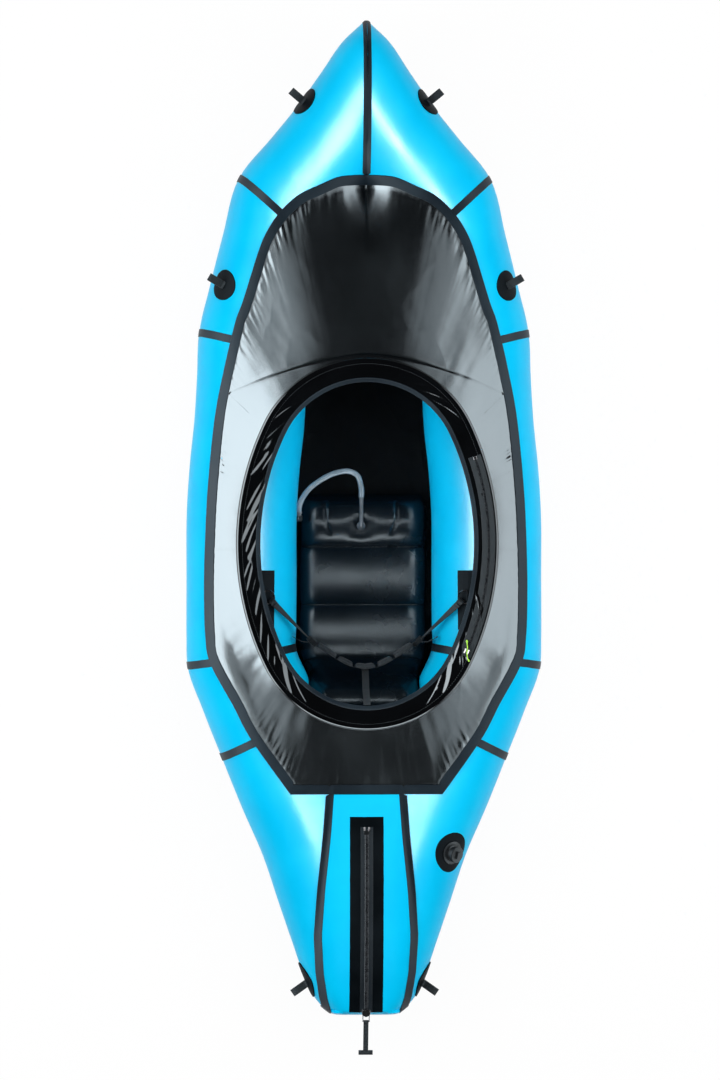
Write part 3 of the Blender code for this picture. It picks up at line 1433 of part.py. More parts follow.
def build_stem_and_hose(looks):
    """The grey stem out of the seat's front pillow, the clear hose and the mouth valve."""
    radius = STEM_DIAMETER / 2
    stem_x = -0.57 * STEM_DIAMETER
    top = FLOOR_FABRIC + GAP + SEAT_THICKNESS + SEAT_PILLOW_RISE
    y0 = SEAT_FRONT - 0.573 * SEAT_CHANNEL_PITCH
    pillow = seat_edges()[1]
    spots = []
    for share in (0.8 * pillow, 0.6 * pillow, 0.4 * pillow):
        y, z, _ = seat_spine(share)
        spots.append(Vector((stem_x, y, z + cushion_section(share)[2])))
    up = Vector((1, 0, 0)).cross(spots[2] - spots[0]).normalized()
    points = [spots[1] + up * GAP, spots[1] + up * (0.38 * STEM_DIAMETER)]
    points += [Vector((stem_x, y0 + a * STEM_REACH, top + b * STEM_REACH)) for a, b in STEM_SHARES]
    swell = [2.2, 1.4] + [1.0] * len(STEM_SHARES)
    add("seat_stem", *tube_along(points, [radius * s for s in swell], 10), looks["stem"])
    ahead = (points[-1] - points[-2]).normalized()
    hose_radius = HOSE_DIAMETER / 2
    start = points[-1] + ahead * GAP
    route = [start, start + ahead * HOSE_DIAMETER, start + ahead * (2.07 * HOSE_DIAMETER) -
             Vector((HOSE_REACH / 82, 0, 0))]
    wall = cockpit_half_width(y0 + HOSE_SHARES[-1][1] * HOSE_REACH)
    aside = wall - 0.366 * MOUTH_VALVE_DIAMETER + stem_x
    route += [Vector((stem_x - a * aside, y0 + b * HOSE_REACH, top + c * HOSE_REACH))
              for a, b, c in HOSE_SHARES]
    curve = bpy.data.curves.new("seat_hose", "CURVE")
    curve.dimensions = "3D"
    curve.bevel_depth = hose_radius
    curve.bevel_resolution = 2
    curve.use_fill_caps = True
    spots = smooth_points(route, 2)
    spline = curve.splines.new("POLY")
    spline.points.add(len(spots) - 1)
    for spot, point in zip(spots, spline.points):
        point.co = (*spot, 1.0)
    curve.materials.append(looks["hose"])
    hose = bpy.data.objects.new("seat_hose", curve)
    bpy.context.scene.collection.objects.link(hose)
    end = spots[-1]
    ahead = (spots[-1] - spots[-2]).normalized()
    frame = frame_at(end + ahead * GAP, ahead, Vector((0, 0, 1)))
    valve = MOUTH_VALVE_DIAMETER / 2
    long = MOUTH_VALVE_LENGTH
    neck = 0.38 * long
    turned("mouth_valve_body", [(valve * 0.9, 0), (valve * 0.9, 0.19 * long), (valve * 0.62, 0.23 * long),
                                (valve * 0.62, neck)], looks["stem"], frame, 16)
    turned("mouth_valve_cap", [(valve, neck + GAP), (valve, 0.83 * long), (valve * 0.75, 0.98 * long),
                               (valve * 0.4, long)], looks["plastic"], frame, 16)


def smooth_points(route, between):
    """Points along a smooth curve through a route's points."""
    found = []
    for i in range(len(route) - 1):
        a, b = route[max(i - 1, 0)], route[i]
        c, d = route[i + 1], route[min(i + 2, len(route) - 1)]
        for k in range(between):
            t = k / between
            found.append(((b * 2) + (c - a) * t + (a * 2 - b * 5 + c * 4 - d) * t * t +
                          (b * 3 - a - c * 3 + d) * t * t * t) / 2)
    found.append(route[-1])
    return found


# Backband and its anchors
ANCHOR_PLACE = 14.32
ANCHOR_ANGLE = math.radians(116)


def build_backband(looks):
    """The band across the cockpit, and on each side its anchor, D-ring and strap."""
    normal = skin_normal(ANCHOR_PLACE, ANCHOR_ANGLE)
    here = skin(ANCHOR_PLACE, ANCHOR_ANGLE)
    ahead = (skin(ANCHOR_PLACE - 0.1, ANCHOR_ANGLE) - skin(ANCHOR_PLACE + 0.1, ANCHOR_ANGLE)).normalized()
    inboard = normal.cross(ahead)
    if inboard.x < 0:
        inboard = -inboard
    grids = []
    ends = [skin(ANCHOR_PLACE + step, ANCHOR_ANGLE) for step in (-0.1, 0.1)]
    ring_pitch = (ends[1] - ends[0]).length / 0.2
    long, wide = ANCHOR_PATCH_LENGTH, ANCHOR_PATCH_WIDTH
    for lift in (TAPE_LAYER, TAPE_LAYER + 2 * TAPE):
        grid = []
        for i in range(5):
            place = ANCHOR_PLACE + (i / 4 - 0.42) * long / ring_pitch
            row = []
            for k in range(4):
                angle = ANCHOR_ANGLE + (k / 3 - 0.5) * wide / TUBE_RADIUS
                row.append(skin(place, angle) + skin_normal(place, angle) * lift)
            grid.append(row)
        grids.append(grid)
    points, faces = slab_solid(*grids)
    patches = add_both("anchor_patch", points, faces, looks["webbing"])
    wire = D_RING_WIRE / 2
    stub = eye_solid(wire + PIN_PLAY, WEBBING * 0.8, D_RING_RADIUS)
    stub_reach = wire + PIN_PLAY + WEBBING * 0.8
    flat_share = 0.45
    bar = here + normal * (TAPE_LAYER + 2 * TAPE + 0.9 * stub_reach) - inboard * (flat_share * D_RING_RADIUS)
    stub_frame = frame_at(bar, normal, inboard)
    raised = inboard * math.cos(D_RING_TILT) + normal * math.sin(D_RING_TILT)
    face = normal * math.cos(D_RING_TILT) - inboard * math.sin(D_RING_TILT)
    centre = bar + raised * (flat_share * D_RING_RADIUS)
    for patch, (side, flip) in zip(patches, SIDES):
        stub_points = [stub_frame @ p for p in stub[0]]
        stub_points = mirrored(stub_points) if flip else stub_points
        join(patch, add(f"anchor_patch_{side}_stub", stub_points, stub[1], looks["webbing"]))
    rings = []
    count = 20
    for k in range(count):
        a = 2 * math.pi * k / count
        flat = max(math.cos(a), -flat_share)
        spot = centre + raised * (D_RING_RADIUS * flat) + ahead * (D_RING_RADIUS * math.sin(a))
        radial = (spot - centre).normalized()
        rings.append([spot + (radial * math.cos(b) + face * math.sin(b)) * wire
                      for b in (0, math.pi / 3, 2 * math.pi / 3, math.pi, 4 * math.pi / 3, 5 * math.pi / 3)])
    points, faces = loop_solid(rings)
    add_both("d_ring", points, faces, looks["metal"])
    pull = (raised - ahead).normalized()
    wire_spot = centre + pull * (D_RING_RADIUS - 0.4 * wire)
    eye_inner = 3.2 * wire
    frame = frame_at(wire_spot, face, pull)
    eye_points, eye_faces = eye_solid(eye_inner, WEBBING * 0.8, STRAP_WIDTH)
    eye_points = [frame @ p for p in eye_points]
    band = band_path()
    lock = band[0]
    first = wire_spot + pull * (eye_inner + WEBBING * 0.4)
    lifted = mix(first, lock, 0.45) + Vector((0, 0, 3 * WEBBING))
    route = smooth_points([first, first + pull * 6 * WEBBING, lifted, lock], 3)
    start_across = face.cross(pull)
    across = [mix(start_across, Vector((0, 0, 1)), i / (len(route) - 1)) for i in range(len(route))]
    if start_across.z < 0:
        across = [mix(-start_across, Vector((0, 0, 1)), i / (len(route) - 1)) for i in range(len(route))]
    strap_points, strap_faces = strap_along(route, across, STRAP_WIDTH, WEBBING * 0.8)
    lock_ahead = (band[1] - band[0]).normalized()
    lock_frame = frame_at(lock, Vector((0, 0, 1)), lock_ahead)
    half_lock, tall = LOCK_THICKNESS / 2, 0.6 * BAND_WEBBING_WIDTH
    lock_points, lock_faces = box_solid((-half_lock, -0.55 * LOCK_LENGTH, -tall),
                                        (half_lock, 0.45 * LOCK_LENGTH, tall))
    lock_points = [lock_frame @ p for p in lock_points]
    tail_end = lock + Vector((-0.90, 0.24, 0.38)) * STRAP_TAIL_LENGTH
    bowed = mix(lock, tail_end, 0.5) + Vector((0, -0.10, 0.07)) * STRAP_TAIL_LENGTH
    tail = smooth_points([lock, bowed, tail_end], 3)
    tail_points, tail_faces = strap_along(tail, [Vector((0, 0, 1))] * len(tail), STRAP_WIDTH, WEBBING * 0.8)
    for side, flip in SIDES:
        turn = mirrored if flip else list
        strap = add(f"backband_strap_{side}", turn(strap_points), strap_faces, looks["webbing"])
        for piece, (p, f) in (("eye", (eye_points, eye_faces)), ("lock", (lock_points, lock_faces)),
                              ("tail", (tail_points, tail_faces))):
            join(strap, add(f"backband_strap_{side}_{piece}", turn(p), f, looks["webbing"]))
    build_band(band, looks)


def band_path():
    """The webbing's line from the port lock to the middle."""
    drop = HULL_BASE + TUBE_DIAMETER - BAND_DROP
    spots = ((0.303, -0.248), (0.286, -0.254), (0.178, -0.280), (0.093, -0.296), (0.0, -0.303))
    return [Vector((-a * HALF_BEAM * 0.97, b * HALF_LENGTH, drop)) for a, b in spots]


def build_band(band, looks):
    half = smooth_points(band[1:], 3)
    path = half + [Vector((-p.x, p.y, p.z)) for p in half[-2::-1]]
    points, faces = strap_along(path, [Vector((0, 0, 1))] * len(path), BAND_WEBBING_WIDTH, WEBBING)
    webbing = add("backband", points, faces, looks["webbing"])
    count = len(path) - 1
    pads = ((0.02, 0.17), (0.20, 0.36), (0.39, 0.61), (0.64, 0.80), (0.83, 0.98))
    for index, (start, end) in enumerate(pads):
        rings = []
        steps = 3
        for i in range(steps + 1):
            at = mix(start, end, i / steps) * count
            j = int(clamp(math.floor(at), 0, count - 1))
            spot = mix(path[j], path[j + 1], at - j)
            ahead = (path[j + 1] - path[j]).normalized()
            front = Vector((0, 0, 1)).cross(ahead)
            if front.y < 0:
                front = -front
            inset = 0.86 if i in (0, steps) else 1.0
            deep = PAD_THICKNESS * inset
            tall = PAD_HEIGHT / 2 * inset
            back = WEBBING * 0.2
            rings.append([spot + front * d + Vector((0, 0, z)) for d, z in
                          ((back, -tall), (back + deep * 0.7, -tall), (back + deep, -tall * 0.75),
                           (back + deep, tall * 0.75), (back + deep * 0.7, tall), (back, tall))])
        points, faces = rings_solid(rings)
        join(webbing, add(f"backband_pad_{index}", points, faces, looks["pad"]))


def build_centre_strap(frame, looks):
    """From the middle of the band up to the coaming's binding at the rear."""
    band = band_path()[-1]
    start = band + Vector((0, -WEBBING / 2 - GAP - WEBBING * 0.4, 0))
    rim, _ = oval(math.pi, 0.0)
    rim.z = -COAMING_BEAD
    end = COAMING_FRAME @ rim + Vector((0, TAPE + 5 * GAP + WEBBING * 0.5, 0))
    slack = CENTRE_STRAP_SLACK
    up = Vector((0, 0, 1))
    clear = 0.55 * BAND_WEBBING_WIDTH
    route = [start + up * clear, mix(start, end, 0.45) + Vector((0, -slack, 0.4 * slack)),
             mix(start, end, 0.78) - Vector((0, 0.6 * slack, 0)), end, end + up * slack]
    path = [start - up * clear, start] + smooth_points(route, 2)
    across = [Vector((1, 0, 0))] * len(path)
    add("backband_centre_strap", *strap_along(path, across, CENTRE_STRAP_WIDTH, WEBBING * 0.8),
        looks["webbing"])


def main():
    for old in list(bpy.data.objects):
        bpy.data.objects.remove(old, do_unlink=True)
    looks = {
        "hull": material("hull_fabric", (0.0, 0.55, 0.92), 0.38),
        "tape": material("seam_tape", (0.025, 0.035, 0.045), 0.5),
        "deck": material("deck_fabric", (0.02, 0.022, 0.026), 0.38),
        "floor": material("floor_fabric", (0.012, 0.013, 0.015), 0.5),
        "vinyl": material("coaming_vinyl", (0.006, 0.006, 0.008), 0.12),
        "webbing": material("webbing", (0.012, 0.013, 0.016), 0.7),
        "pad": material("backband_foam", (0.02, 0.022, 0.028), 0.8),
        "seat": material("seat_fabric", (0.012, 0.016, 0.022), 0.42),
        "plastic": material("black_plastic", (0.012, 0.012, 0.014), 0.35),
        "metal": material("nickel_metal", (0.62, 0.62, 0.64), 0.25, 1.0),
        "stem": material("grey_stem", (0.28, 0.29, 0.32), 0.4),
        "hose": material("clear_hose", (0.62, 0.72, 0.78), 0.12, 0.0, 0.5),
        "cord": material("green_cord", (0.45, 0.85, 0.06), 0.6),
    }
    build_tubes(looks["hull"])
    build_seam_tapes(looks["tape"])
    build_bow_tape(looks["tape"])
    build_stern_panel(looks["hull"])
    build_stern_tapes(looks["tape"])
    build_floor(looks["floor"])
    frame = bpy.data.objects.new("coaming_frame", None)
    bpy.context.scene.collection.objects.link(frame)
    frame.matrix_world = COAMING_FRAME
    build_coaming(frame, looks)
    build_deck(looks["deck"])
    build_deck_tape(looks["tape"])
    build_loops(looks["webbing"])
    build_valve(looks)
    chain_lift = build_cargo_zip(looks)
    build_cargo_slider(chain_lift, looks)
    middle, lift, slider_angle = build_coaming_zip(frame, looks)
    build_pull_cord(frame, middle, lift, slider_angle, looks)
    build_seat(looks["seat"])
    build_stem_and_hose(looks)
    build_backband(looks)
    build_centre_strap(frame, looks)


main()
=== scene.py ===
# Packraft seen from above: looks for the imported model, in metres, +Y towards the bow
import json
import math
from math import cos, exp, pi, radians, sin, sqrt
import bpy
from mathutils import Matrix, Vector, kdtree, noise

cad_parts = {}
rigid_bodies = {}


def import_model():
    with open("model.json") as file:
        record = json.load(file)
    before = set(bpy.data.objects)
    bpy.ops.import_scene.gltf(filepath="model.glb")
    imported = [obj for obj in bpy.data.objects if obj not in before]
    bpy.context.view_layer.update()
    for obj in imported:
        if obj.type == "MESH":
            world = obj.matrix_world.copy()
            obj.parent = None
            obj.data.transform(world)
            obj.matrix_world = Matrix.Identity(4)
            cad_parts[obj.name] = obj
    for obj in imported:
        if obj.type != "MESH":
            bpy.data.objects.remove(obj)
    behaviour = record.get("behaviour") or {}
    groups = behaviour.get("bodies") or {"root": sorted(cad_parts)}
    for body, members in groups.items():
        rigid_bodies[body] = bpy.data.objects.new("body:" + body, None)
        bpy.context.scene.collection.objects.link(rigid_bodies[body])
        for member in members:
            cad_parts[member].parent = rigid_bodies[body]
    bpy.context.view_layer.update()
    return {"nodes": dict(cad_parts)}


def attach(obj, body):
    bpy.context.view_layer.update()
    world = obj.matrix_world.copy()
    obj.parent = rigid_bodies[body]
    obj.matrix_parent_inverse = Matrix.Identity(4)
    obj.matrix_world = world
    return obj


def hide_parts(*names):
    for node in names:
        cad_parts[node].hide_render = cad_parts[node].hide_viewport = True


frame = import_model()
nodes = frame["nodes"]
bothSides = (("port", -1), ("starboard", 1))
print("frame loaded:", len(nodes), "nodes")


def clamp(value, low, high):
    return max(low, min(high, value))


def mix(a, b, share):
    return a + (b - a) * share


def ease(share):
    share = clamp(share, 0.0, 1.0)
    return share * share * (3 - 2 * share)


def ripple(x, y=0.0, z=0.0):
    return noise.noise(Vector((x, y, z)))


def readTable(table, at):
    for (x0, y0), (x1, y1) in zip(table, table[1:]):
        if at >= y1:
            return mix(x0, x1, clamp((at - y0) / (y1 - y0), 0, 1))
    return table[-1][0]


def bisect(low, high, tries, isLow):
    for _ in range(tries):
        middle = (low + high) / 2
        if isLow(middle):
            low = middle
        else:
            high = middle
    return low, high


def heading(path, i):
    return (path[min(i + 1, len(path) - 1)] - path[max(i - 1, 0)]).normalized()


# shader nodes and groups
def makeNode(tree, kind, inputs=None, operation=None):
    node = tree.nodes.new("ShaderNode" + kind)
    if operation:
        node.operation = operation
    for socket, value in (inputs or {}).items():
        if isinstance(value, bpy.types.NodeSocket):
            tree.links.new(value, node.inputs[socket])
        else:
            node.inputs[socket].default_value = value
    return node


def mathNode(tree, operation, a, b=None, clampIt=False):
    node = makeNode(tree, "Math", {0: a} if b is None else {0: a, 1: b}, operation)
    node.use_clamp = clampIt
    return node.outputs[0]


def wave(tree, value):
    return mathNode(tree, "SINE", mathNode(tree, "MULTIPLY", value, 6.2832))


def scaledPlace(tree, scale, stretch=(1.0, 1.0, 1.0)):
    place = makeNode(tree, "TexCoord").outputs["Object"]
    times = makeNode(tree, "VectorMath", {0: place, 1: stretch}, "MULTIPLY")
    return makeNode(tree, "VectorMath", {0: times.outputs[0], "Scale": scale}, "SCALE").outputs[0]


def noiseNode(tree, place, detail, rough):
    inputs = {"Scale": 1.0, "Detail": detail, "Roughness": rough, "Vector": place}
    return makeNode(tree, "TexNoise", inputs).outputs["Fac"]


def newGroup(name, label, value, result):
    group = bpy.data.node_groups.new(name, "ShaderNodeTree")
    socket = group.interface.new_socket(name=label, in_out="INPUT", socket_type="NodeSocketFloat")
    socket.default_value = value
    group.interface.new_socket(name=result, in_out="OUTPUT", socket_type="NodeSocketFloat")
    entry, end = group.nodes.new("NodeGroupInput"), group.nodes.new("NodeGroupOutput")
    return group, entry.outputs[label], end.inputs[result]


def buildWeave():
    # crossed threads, Threads counts them per metre
    group, threads, height = newGroup("wovenThreads", "Threads", 900.0, "Height")
    split = makeNode(group, "SeparateXYZ", {0: scaledPlace(group, threads)})
    first, second, third = (wave(group, split.outputs[axis]) for axis in ("X", "Y", "Z"))
    crossed = mathNode(group, "MULTIPLY", first, second)
    summed = mathNode(group, "ADD", crossed, mathNode(group, "MULTIPLY", third, 0.5))
    group.links.new(mathNode(group, "MULTIPLY", summed, 0.5), height)
    return group


def buildUneven():
    # broad soft patches, 0 to 1
    group, size, mask = newGroup("unevenPatches", "Size", 6.0, "Mask")
    raw = noiseNode(group, scaledPlace(group, size), 4.0, 0.55)
    group.links.new(mathNode(group, "MULTIPLY", mathNode(group, "SUBTRACT", raw, 0.35), 3.0, True), mask)
    return group


def buildCreases():
    # sharp-backed folds that run along one direction more than the others
    group, size, height = newGroup("foldLines", "Size", 20.0, "Height")
    raw = noiseNode(group, scaledPlace(group, size, (1.0, 0.55, 0.8)), 2.5, 0.45)
    away = mathNode(group, "ABSOLUTE", mathNode(group, "SUBTRACT", raw, 0.5))
    ridge = mathNode(group, "SUBTRACT", 1.0, mathNode(group, "MULTIPLY", away, 5.0), True)
    group.links.new(mathNode(group, "POWER", ridge, 2.0), height)
    return group


def buildRibs():
    # rows of woven ribs on webbing, slanted so that they show on every face
    group, ribs, height = newGroup("webbingRibs", "Ribs", 500.0, "Height")
    split = makeNode(group, "SeparateXYZ", {0: scaledPlace(group, ribs)})
    waves = []
    for axis, share in (("X", 0.6), ("Z", -0.6)):
        part = mathNode(group, "MULTIPLY", split.outputs["Y"], share)
        waves.append(wave(group, mathNode(group, "ADD", split.outputs[axis], part)))
    group.links.new(mathNode(group, "MULTIPLY", mathNode(group, "ADD", *waves), 0.5), height)
    return group


weaveGroup, unevenGroup = buildWeave(), buildUneven()
creaseGroup, ribGroup = buildCreases(), buildRibs()


def groupNode(tree, group, value):
    node = tree.nodes.new("ShaderNodeGroup")
    node.node_tree = group
    node.inputs[0].default_value = value
    return node.outputs[0]


def makeLook(name, low, high, rough, fabric=None, ribs=None, folds=None, patches=7.0, metallic=0.0,
             coat=0.0, coatRough=0.1, sheen=0.0, specular=0.5, transmission=0.0, bend=1.5):
    look = bpy.data.materials.new(name)
    look.use_nodes = True
    tree = look.node_tree
    shader = tree.nodes["Principled BSDF"]
    values = {"Metallic": metallic, "Coat Weight": coat, "Coat Roughness": coatRough, "Sheen Weight": sheen,
              "Specular IOR Level": specular, "Transmission Weight": transmission, "IOR": bend,
              "Specular Tint": (0.78, 0.92, 1.0, 1.0)}
    for label, value in values.items():
        shader.inputs[label].default_value = value
    mask = groupNode(tree, unevenGroup, patches)
    colour = makeNode(tree, "Mix")
    colour.data_type = "RGBA"
    tree.links.new(mask, colour.inputs["Factor"])
    colour.inputs[6].default_value, colour.inputs[7].default_value = (*low, 1.0), (*high, 1.0)
    tree.links.new(colour.outputs[2], shader.inputs["Base Color"])
    roughness = mathNode(tree, "ADD", mathNode(tree, "MULTIPLY", mask, rough[1] - rough[0]), rough[0])
    tree.links.new(roughness, shader.inputs["Roughness"])
    normal = None
    bumps = ((folds, creaseGroup, 0.6), (fabric, weaveGroup, 0.5), (ribs, ribGroup, 0.7))
    for bump, group, strength in bumps:
        if bump:
            inputs = {"Strength": strength, "Distance": bump[1], "Height": groupNode(tree, group, bump[0])}
            if normal:
                inputs["Normal"] = normal
            normal = makeNode(tree, "Bump", inputs).outputs["Normal"]
    if normal:
        tree.links.new(normal, shader.inputs["Normal"])
    return look


looks = {
    "hull": makeLook("hullBlue", (0.0, 0.54, 0.92), (0.0, 0.59, 0.97), (0.30, 0.37), fabric=(700, 0.00005),
                     folds=(5.0, 0.0008), specular=0.12),
    "tape": makeLook("slateTape", (0.003, 0.007, 0.012), (0.007, 0.014, 0.021), (0.42, 0.55),
                     fabric=(900, 0.00006), specular=0.24),
    "deck": makeLook("deckSatin", (0.0004, 0.0008, 0.0012), (0.0008, 0.0014, 0.0020), (0.20, 0.24),
                     fabric=(1100, 0.00004), folds=(6.0, 0.0009), specular=0.62, bend=2.0),
    "floor": makeLook("floorBlack", (0.0008, 0.0010, 0.0014), (0.002, 0.0026, 0.0034), (0.45, 0.6),
                      fabric=(600, 0.0001), folds=(8.0, 0.002), specular=0.08),
    "vinyl": makeLook("coamingGloss", (0.0008, 0.0010, 0.0013), (0.0016, 0.0020, 0.0026), (0.07, 0.10),
                      folds=(7.0, 0.0006), specular=0.7, coat=0.4, coatRough=0.05),
    "webbing": makeLook("wovenStrap", (0.002, 0.003, 0.004), (0.007, 0.009, 0.011), (0.62, 0.78),
                        ribs=(330, 0.0003), sheen=0.06),
    "patch": makeLook("patchBlack", (0.001, 0.002, 0.003), (0.003, 0.005, 0.007), (0.42, 0.55),
                      fabric=(800, 0.00008), specular=0.06),
    "rubber": makeLook("zipRubber", (0.010, 0.014, 0.018), (0.016, 0.021, 0.026), (0.32, 0.42),
                       fabric=(700, 0.00006), specular=0.3),
    "seat": makeLook("seatSatin", (0.0012, 0.0036, 0.0064), (0.0024, 0.0060, 0.0098), (0.23, 0.29),
                     fabric=(1200, 0.00004), folds=(7.0, 0.00016), specular=0.5),
    "foam": makeLook("padCover", (0.002, 0.003, 0.004), (0.006, 0.008, 0.010), (0.6, 0.75),
                     fabric=(520, 0.00025), sheen=0.06),
    "plastic": makeLook("mouldedBlack", (0.003, 0.0035, 0.004), (0.008, 0.009, 0.010), (0.32, 0.44),
                        patches=40.0),
    "metal": makeLook("satinNickel", (0.36, 0.36, 0.38), (0.50, 0.50, 0.52), (0.20, 0.34), patches=60.0,
                      metallic=1.0),
    "stem": makeLook("greyStem", (0.06, 0.068, 0.078), (0.11, 0.12, 0.135), (0.30, 0.42), patches=50.0),
    "cord": makeLook("limeCord", (0.32, 0.70, 0.02), (0.50, 0.92, 0.06), (0.5, 0.65), ribs=(420, 0.0004),
                     sheen=0.1),
    "hose": makeLook("clearHose", (0.24, 0.33, 0.40), (0.36, 0.46, 0.54), (0.07, 0.13), patches=30.0,
                     transmission=0.55, coat=0.8, coatRough=0.04),
    "teeth": makeLook("zipTeeth", (0.008, 0.009, 0.011), (0.026, 0.028, 0.032), (0.22, 0.34), patches=90.0),
    "stitch": makeLook("sewingThread", (0.010, 0.012, 0.014), (0.030, 0.033, 0.037), (0.6, 0.75),
                       patches=200.0),
}
print("materials made:", len(looks))


# pieces
def addPiece(name, points, faces, look, stands=(), body="hull", slot=None, up=False, crease=35, thick=0.0):
    mesh = bpy.data.meshes.new(name)
    mesh.from_pydata([tuple(p) for p in points], [], faces)
    middle = sum((Vector(p) for p in points), Vector()) / len(points)
    if sum((face.normal.z if up else face.normal.dot(face.center - middle)) * face.area
           for face in mesh.polygons) < 0:
        mesh.flip_normals()
    mesh.shade_smooth()
    mesh.set_sharp_from_angle(angle=radians(crease))
    mesh.materials.append(looks[look])
    piece = bpy.data.objects.new(name, mesh)
    bpy.context.scene.collection.objects.link(piece)
    if thick:
        skinDeep = piece.modifiers.new("cloth thickness", "SOLIDIFY")
        skinDeep.thickness = thick
        skinDeep.offset = -1.0
    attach(piece, body)
    if stands:
        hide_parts(*stands)
    return piece


def addPair(name, node, points, faces, look, slot):
    for side, sign in bothSides:
        addPiece(f"{name}_{side}", flipX(points, sign), faces, look, (f"{node}_{side}",), slot=slot)


def gridFaces(rows, columns, closeRows=False, closeColumns=False):
    faces = []
    for i in range(rows if closeRows else rows - 1):
        j = (i + 1) % rows
        for k in range(columns if closeColumns else columns - 1):
            n = (k + 1) % columns
            faces.append((i * columns + k, i * columns + n, j * columns + n, j * columns + k))
    return faces


def loft(rings, closeRows=False, closeColumns=True, capStart=False, capEnd=False):
    columns = len(rings[0])
    points = [p for ring in rings for p in ring]
    faces = gridFaces(len(rings), columns, closeRows, closeColumns)
    if capStart:
        faces.append(tuple(reversed(range(columns))))
    if capEnd:
        faces.append(tuple(range(len(points) - columns, len(points))))
    return points, faces


def together(*bodies):
    points, faces = [], []
    for somePoints, someFaces in bodies:
        base = len(points)
        points += list(somePoints)
        faces += [tuple(base + k for k in face) for face in someFaces]
    return points, faces


def flipX(points, sign):
    # shapes are built for port, sign 1 is starboard
    return [Vector((p.x * -sign, p.y, p.z)) for p in points]


def frameAt(origin, up, ahead):
    z = up.normalized()
    x = ahead.cross(z).normalized()
    y = z.cross(x)
    return Matrix.Translation(origin) @ Matrix((x, y, z)).transposed().to_4x4()


def curveThrough(route, between):
    found = []
    for i in range(len(route) - 1):
        a, b = route[max(i - 1, 0)], route[i]
        c, d = route[i + 1], route[min(i + 2, len(route) - 1)]
        for k in range(between):
            t = k / between
            found.append(((b * 2) + (c - a) * t + (a * 2 - b * 5 + c * 4 - d) * t * t
                          + (b * 3 - a - c * 3 + d) * t * t * t) / 2)
    found.append(route[-1])
    return found


def flatStrap(path, across, width, thick):
    shape = [(-1, -0.4), (-0.96, -1), (0.96, -1), (1, -0.4), (1, 0.4), (0.96, 1), (0, 1), (-0.96, 1),
             (-1, 0.4)]
    rings = []
    for i, point in enumerate(path):
        ahead = heading(path, i)
        side = (across[i] - ahead * across[i].dot(ahead)).normalized()
        up = side.cross(ahead)
        rings.append([point + side * (width / 2 * s) + up * (thick / 2 * t) for s, t in shape])
    return loft(rings, capStart=True, capEnd=True)


boxFaces = [(3, 2, 1, 0), (4, 5, 6, 7), (0, 1, 5, 4), (1, 2, 6, 5), (2, 3, 7, 6), (3, 0, 4, 7)]


def boxBody(low, high, place=None):
    corners = [Vector((x, y, z)) for z in (low[2], high[2]) for x, y in
               ((low[0], low[1]), (high[0], low[1]), (high[0], high[1]), (low[0], high[1]))]
    if place:
        corners = [place @ p for p in corners]
    return corners, boxFaces


def sewn(a, b, side, lift):
    # one stitch, a low ridge from a to b
    return ([a - side, a + side, b + side, b - side, mix(a, b, 0.5) + lift],
            [(0, 1, 4), (1, 2, 4), (2, 3, 4), (3, 0, 4)])


# the hull's form
hullForm = {
    "halfLength": 1.300, "halfBeam": 0.468, "tubeRadius": 0.145, "bottom": 0.003025,
    "bowRise": 0.130, "sternRise": 0.075, "bowRiseStart": 0.450, "sternRiseStart": 0.550,
    "aroundSteps": 72, "betweenRings": 6, "seams": (6, 9, 16, 18),
    # out, forward, where its plane crosses the middle, width, height, inner half's width
    "rings": [
        (0.006, 1.000, 0.997, 1.0, 0.92, 1.0), (0.056, 0.984, 0.963, 1.0, 0.92, 1.0),
        (0.114, 0.965, 0.931, 1.0, 0.94, 1.0), (0.250, 0.897, 0.825, 1.0, 0.98, 1.0),
        (0.390, 0.827, 0.713, 1.0, 1.0, 1.0), (0.523, 0.769, 0.605, 1.0, 1.0, 1.0),
        (0.707, 0.688, 0.450, 1.02, 1.0, 1.0), (0.796, 0.574, 0.409, 1.0, 1.0, 1.0),
        (0.868, 0.472, 0.352, 1.0, 1.0, 1.0), (0.930, 0.376, 0.287, 1.0, 1.0, 1.0),
        (0.941, 0.288, 0.234, 1.0, 1.0, 1.0), (0.956, 0.200, 0.176, 1.0, 1.0, 1.0),
        (0.982, 0.108, 0.099, 1.0, 1.0, 1.0), (0.998, 0.018, 0.018, 1.0, 1.0, 1.0),
        (1.000, -0.123, -0.123, 1.0, 1.0, 1.0), (1.000, -0.243, -0.211, 1.0, 1.0, 1.0),
        (0.996, -0.294, -0.234, 1.0, 1.0, 1.0), (0.907, -0.387, -0.281, 1.0, 1.0, 1.0),
        (0.804, -0.481, -0.334, 1.0, 1.0, 1.0), (0.687, -0.585, -0.470, 1.0, 0.99, 2.6),
        (0.571, -0.681, -0.589, 1.0, 0.95, 2.4), (0.484, -0.774, -0.696, 1.0, 0.89, 2.0),
        (0.406, -0.856, -0.781, 1.0, 0.83, 1.7), (0.337, -0.926, -0.841, 1.0, 0.78, 1.4),
        (0.287, -0.964, -0.868, 1.0, 0.75, 1.2), (0.228, -0.988, -0.879, 1.0, 0.73, 1.0),
        (0.184, -0.998, -0.882, 1.0, 0.72, 1.0), (0.089, -0.999, -0.890, 1.0, 0.71, 1.0),
        (0.006, -0.999, -0.896, 1.0, 0.70, 1.0)],
}
layers = {"tape": 0.0006, "seam": 0.00055, "sternSeam": 0.0012, "panel": 0.00135, "deck": 0.0019,
          "deckTape": 0.0033}
ringRows = hullForm["rings"]
lastRing = len(ringRows) - 1
halfLength, halfBeam = hullForm["halfLength"], hullForm["halfBeam"]


